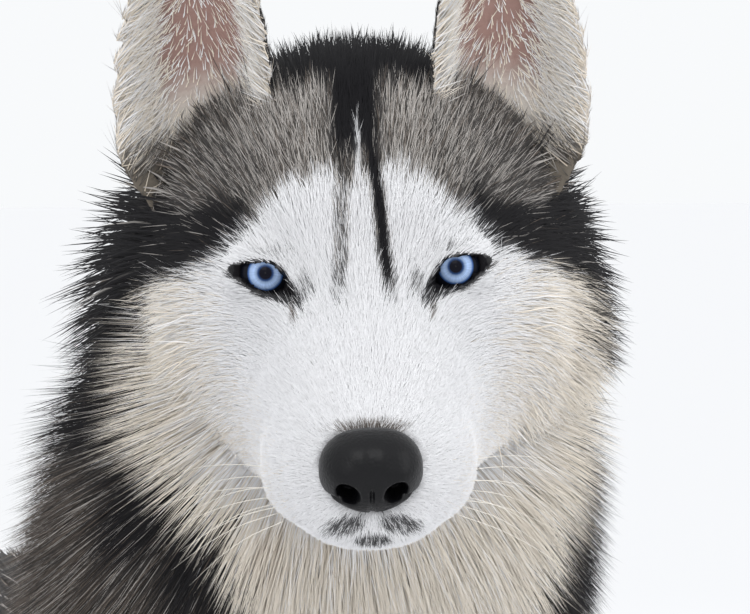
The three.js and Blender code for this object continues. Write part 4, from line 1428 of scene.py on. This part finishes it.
class HUSKY_OT_nose(bpy.types.Operator):
    """Builds the nose leather with its nostrils and the groove between them."""

    bl_idname = "husky.nose"
    bl_label = "Nose"

    def execute(self, context):
        settings = context.scene.husky_face

        def pad(t, angle):
            """Squared ball about the forward axis, narrower below, with nostrils and a groove pressed in."""
            ball = ball_points(t, angle)
            x, y, z = ball[:, 0], -ball[:, 2], ball[:, 1]
            wide = np.where(z > 0, 1.0, 1 - 0.42 * z * z)
            x, y, z = power(x, 0.8) * wide * NOSE_HALF[0], y * NOSE_HALF[1], power(z, 0.85) * NOSE_HALF[2]
            side = np.abs(x)
            hole = hump(np.hypot((side - 7.9) / 4.9, (z + 2.8 - 0.3 * (side - 8)) / 5.4), 1)
            slit = hump(np.hypot((side - 12.6) / 5.2, (z + 6.2 + 0.1 * (side - 12)) / 1.9), 1)
            groove = hump(x / 1.1, 1) * smoothstep(-1 - z, -2, 3)
            wing = hump(np.hypot((side - 10) / 8, (z - 2) / 8), 1)
            top = hump(x / 3.5, 1) * smoothstep(z, 0, 8)
            facing = y < 0
            pressed = 9 * smoothstep(hole, 0.0, 0.62) + 3.6 * slit + 1.6 * groove - 1.5 * wing + 0.5 * top
            y = y + facing * pressed
            local = np.stack([x, y, z], 1) @ turned(math.radians(8), "x").T
            return head_to_world(local + NOSE_MIDDLE)

        nose = tube("nose_leather", pad, 110, 150, leather_material("nose_leather", settings.leather, 0.45))
        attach(nose, "root")
        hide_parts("nose")
        return {"FINISHED"}


def strand_surface(points, radius):
    """A round strand through points, thinning to its tip as 1 - s^2."""

    def surface(t, angle):
        middle = between(points, t)
        along = unit(between(points, np.minimum(t + 0.02, 1)) - between(points, np.maximum(t - 0.02, 0)))
        side = unit(np.cross(along, [0.3, 0.2, 1.0]))
        out = np.cross(along, side)
        r = (radius * (1 - 0.9 * t * t))[:, None]
        return middle + r * (np.cos(angle)[:, None] * side + np.sin(angle)[:, None] * out)

    return surface


WHISKER_RADIUS, CLAW_RADIUS = 0.13, 2.7


class HUSKY_OT_whiskers(bpy.types.Operator):
    """Sets whiskers on the muzzle and claws on the toes."""

    bl_idname = "husky.whiskers"
    bl_label = "Whiskers and claws"

    def execute(self, context):
        rng = np.random.default_rng(91)
        horn, tree = new_material("whisker_keratin")
        finish_material(tree, Base_Color=(*linear("#E8E2D6"), 1), Roughness=0.35)
        strands, sag = [], np.array([0, 0, -11.0])
        for side in (LEFT, RIGHT):
            for row in range(3):
                for column in range(3):
                    start = np.array([side * (29 + 1.6 * row + column), -(70 - 9 * column), -52 - 6.5 * row])
                    reach = rng.uniform(38, 56)
                    out = side * rng.uniform(0.8, 1.1)
                    way = unit(np.array([out, 0.55 + 0.18 * column, -0.12 - 0.22 * row]))
                    path = [start + way * reach * s + sag * s * s for s in (-0.08, 0.3, 0.65, 1)]
                    strand = strand_surface(head_to_world(np.array(path)), WHISKER_RADIUS)
                    strands.append(tube("whisker", strand, 10, 5, horn))
        whiskers = join(strands, "whiskers")
        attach(whiskers, "root")
        claw_horn, tree = new_material("claw_keratin")
        finish_material(tree, Base_Color=(*linear("#4A423C"), 1), Roughness=0.3, Coat_Weight=0.3)
        claws = []
        for x, y, length in PAWS.values():
            for across, ahead, turn in TOES:
                tip = np.array([x + 1.12 * across, y - ahead * length / 2, 0])
                forward = turned(math.radians(turn), "z") @ np.array([0.0, -1, 0])
                height = [12.5 - 2.2 * s - 0.5 * s * s for s in range(4)]
                path = np.array([tip + forward * (12 + 6 * s) + [0, 0, height[s]] for s in range(4)])
                claws.append(tube("claw", strand_surface(path, CLAW_RADIUS), 10, 10, claw_horn))
        claws = join(claws, "claws")
        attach(claws, "root")
        return {"FINISHED"}


# Stage and camera


class HuskyStage(bpy.types.PropertyGroup):
    """Camera distance and light."""

    distance: FloatProperty(name="Distance", description="Camera to the eyes", default=1.2, unit="LENGTH")
    focal: FloatProperty(name="Lens", description="Focal length in mm on a 36 mm sensor", default=164.2)
    floor: FloatVectorProperty(
        name="Floor", description="Pale floor", subtype="COLOR", default=linear("#E7E7E8")
    )
    sky: FloatProperty(name="Sky", description="Strength of the soft light all round", default=0.97)


PHOTO_WIDTH, PHOTO_HEIGHT = 750, 614
SENSOR_WIDTH = 36
OVERHEAD = 1.28  # how much brighter the sky is overhead than at the horizon
FLOOR_HALF = 45.0  # metres, so that its edge lies beyond the haze of the horizon
# Lamps: name, place, what it shines on, watts and width
LAMPS = [
    ("key", (-1.3, -2.4, 2.4), (0, -0.3, 0.6), 17, 1.5),
    ("fill", (1.6, -2.2, 1.6), (0, -0.2, 0.6), 9, 1.5),
    ("rear", (0.6, 2.6, 2.2), (0, 0, 0.4), 14, 1.6),
]
EYES_AT = (360.5, 273.5)  # the point midway between the eyes, in the photo's pixels
CAMERA_AZIMUTH, CAMERA_ELEVATION = math.radians(-23.6), math.radians(2)


def aim(camera, settings):
    """Stands the camera off the eyes, then turns it so that they fall where the photo has them."""
    eyes = (head_to_world(np.zeros(3)) + SHIFT) * MM
    a, e = CAMERA_AZIMUTH, CAMERA_ELEVATION
    back = np.array([math.sin(a) * math.cos(e), -math.cos(a) * math.cos(e), math.sin(e)])
    pixels = settings.focal / SENSOR_WIDTH * PHOTO_WIDTH
    right = unit(np.cross(-back, [0, 0, 1.0]))
    up = np.cross(right, -back)
    across = (PHOTO_WIDTH / 2 - EYES_AT[0]) / pixels * settings.distance
    down = (PHOTO_HEIGHT / 2 - EYES_AT[1]) / pixels * settings.distance
    place = eyes + back * settings.distance
    target = eyes + right * across - up * down
    camera.location = place
    camera.rotation_euler = Vector(target - place).to_track_quat("-Z", "Y").to_euler()


class HUSKY_OT_stage(bpy.types.Operator):
    """Lays the floor, lights it softly and sets the camera."""

    bl_idname = "husky.stage"
    bl_label = "Stage"

    def execute(self, context):
        settings = context.scene.husky_stage
        scene = context.scene
        corners = [(x * FLOOR_HALF, y * FLOOR_HALF, 0) for x, y in ((-1, -1), (1, -1), (1, 1), (-1, 1))]
        mesh = bpy.data.meshes.new("floor")
        mesh.from_pydata(corners, [], [(0, 1, 2, 3)])
        material, tree = new_material("pale_floor")
        finish_material(tree, Base_Color=(*settings.floor, 1), Roughness=0.9, Specular_IOR_Level=0.1)
        mesh.materials.append(material)
        floor = bpy.data.objects.new("floor", mesh)
        scene.collection.objects.link(floor)
        world = bpy.data.worlds.new("soft_sky")
        scene.world = world
        world.use_nodes = True
        tree = world.node_tree
        height = node(
            tree, "ShaderNodeSeparateXYZ", in_Vector=node(tree, "ShaderNodeTexCoord").outputs["Generated"]
        )
        # The sky brightens from the horizon, where it meets the floor unseen, to overhead
        brightness = node(
            tree, "ShaderNodeMapRange", in_Value=height.outputs["Z"], in_From_Min=0.05, in_From_Max=0.7,
            in_To_Min=settings.sky, in_To_Max=OVERHEAD * settings.sky,
        )
        background = tree.nodes["Background"]
        background.inputs["Color"].default_value = (0.97, 0.985, 1.0, 1)
        tree.links.new(brightness.outputs[0], background.inputs["Strength"])
        for name, place, target, energy, width in LAMPS:
            light = bpy.data.lights.new(name, "AREA")
            light.energy, light.size = energy, width
            lamp = bpy.data.objects.new(name, light)
            lamp.location = place
            lamp.rotation_euler = (Vector(target) - Vector(place)).to_track_quat("-Z", "Y").to_euler()
            scene.collection.objects.link(lamp)
        data = bpy.data.cameras.new("camera")
        data.lens, data.sensor_width, data.clip_end = settings.focal, SENSOR_WIDTH, 200
        camera = bpy.data.objects.new("camera", data)
        scene.collection.objects.link(camera)
        aim(camera, settings)
        scene.camera = camera
        scene.view_settings.view_transform = "Standard"
        return {"FINISHED"}


class HUSKY_PT_panel(bpy.types.Panel):
    """Lists the pieces of the husky in the order they are made."""

    bl_idname = "HUSKY_PT_panel"
    bl_label = "Husky"
    bl_space_type = "VIEW_3D"
    bl_region_type = "UI"
    bl_category = "Husky"

    def draw(self, context):
        for operator in OPERATORS:
            self.layout.operator(operator.bl_idname)


OPERATORS = [
    HUSKY_OT_stage, HUSKY_OT_skin, HUSKY_OT_eyes, HUSKY_OT_nose, HUSKY_OT_face, HUSKY_OT_ruff, HUSKY_OT_coat,
    HUSKY_OT_whiskers,
]
GROUPS = {"husky_coat": HuskyCoat, "husky_face": HuskyFace, "husky_stage": HuskyStage}


def register():
    for cls in (*GROUPS.values(), *OPERATORS, HUSKY_PT_panel):
        bpy.utils.register_class(cls)
    for name, cls in GROUPS.items():
        setattr(bpy.types.Scene, name, PointerProperty(type=cls))


def unregister():
    for name in GROUPS:
        delattr(bpy.types.Scene, name)
    for cls in (HUSKY_PT_panel, *OPERATORS[::-1], *GROUPS.values()):
        bpy.utils.unregister_class(cls)


def main():
    """Makes every piece in order."""
    register()
    for operator in OPERATORS:
        group, name = operator.bl_idname.split(".")
        getattr(getattr(bpy.ops, group), name)()


if __name__ == "__main__":
    main()
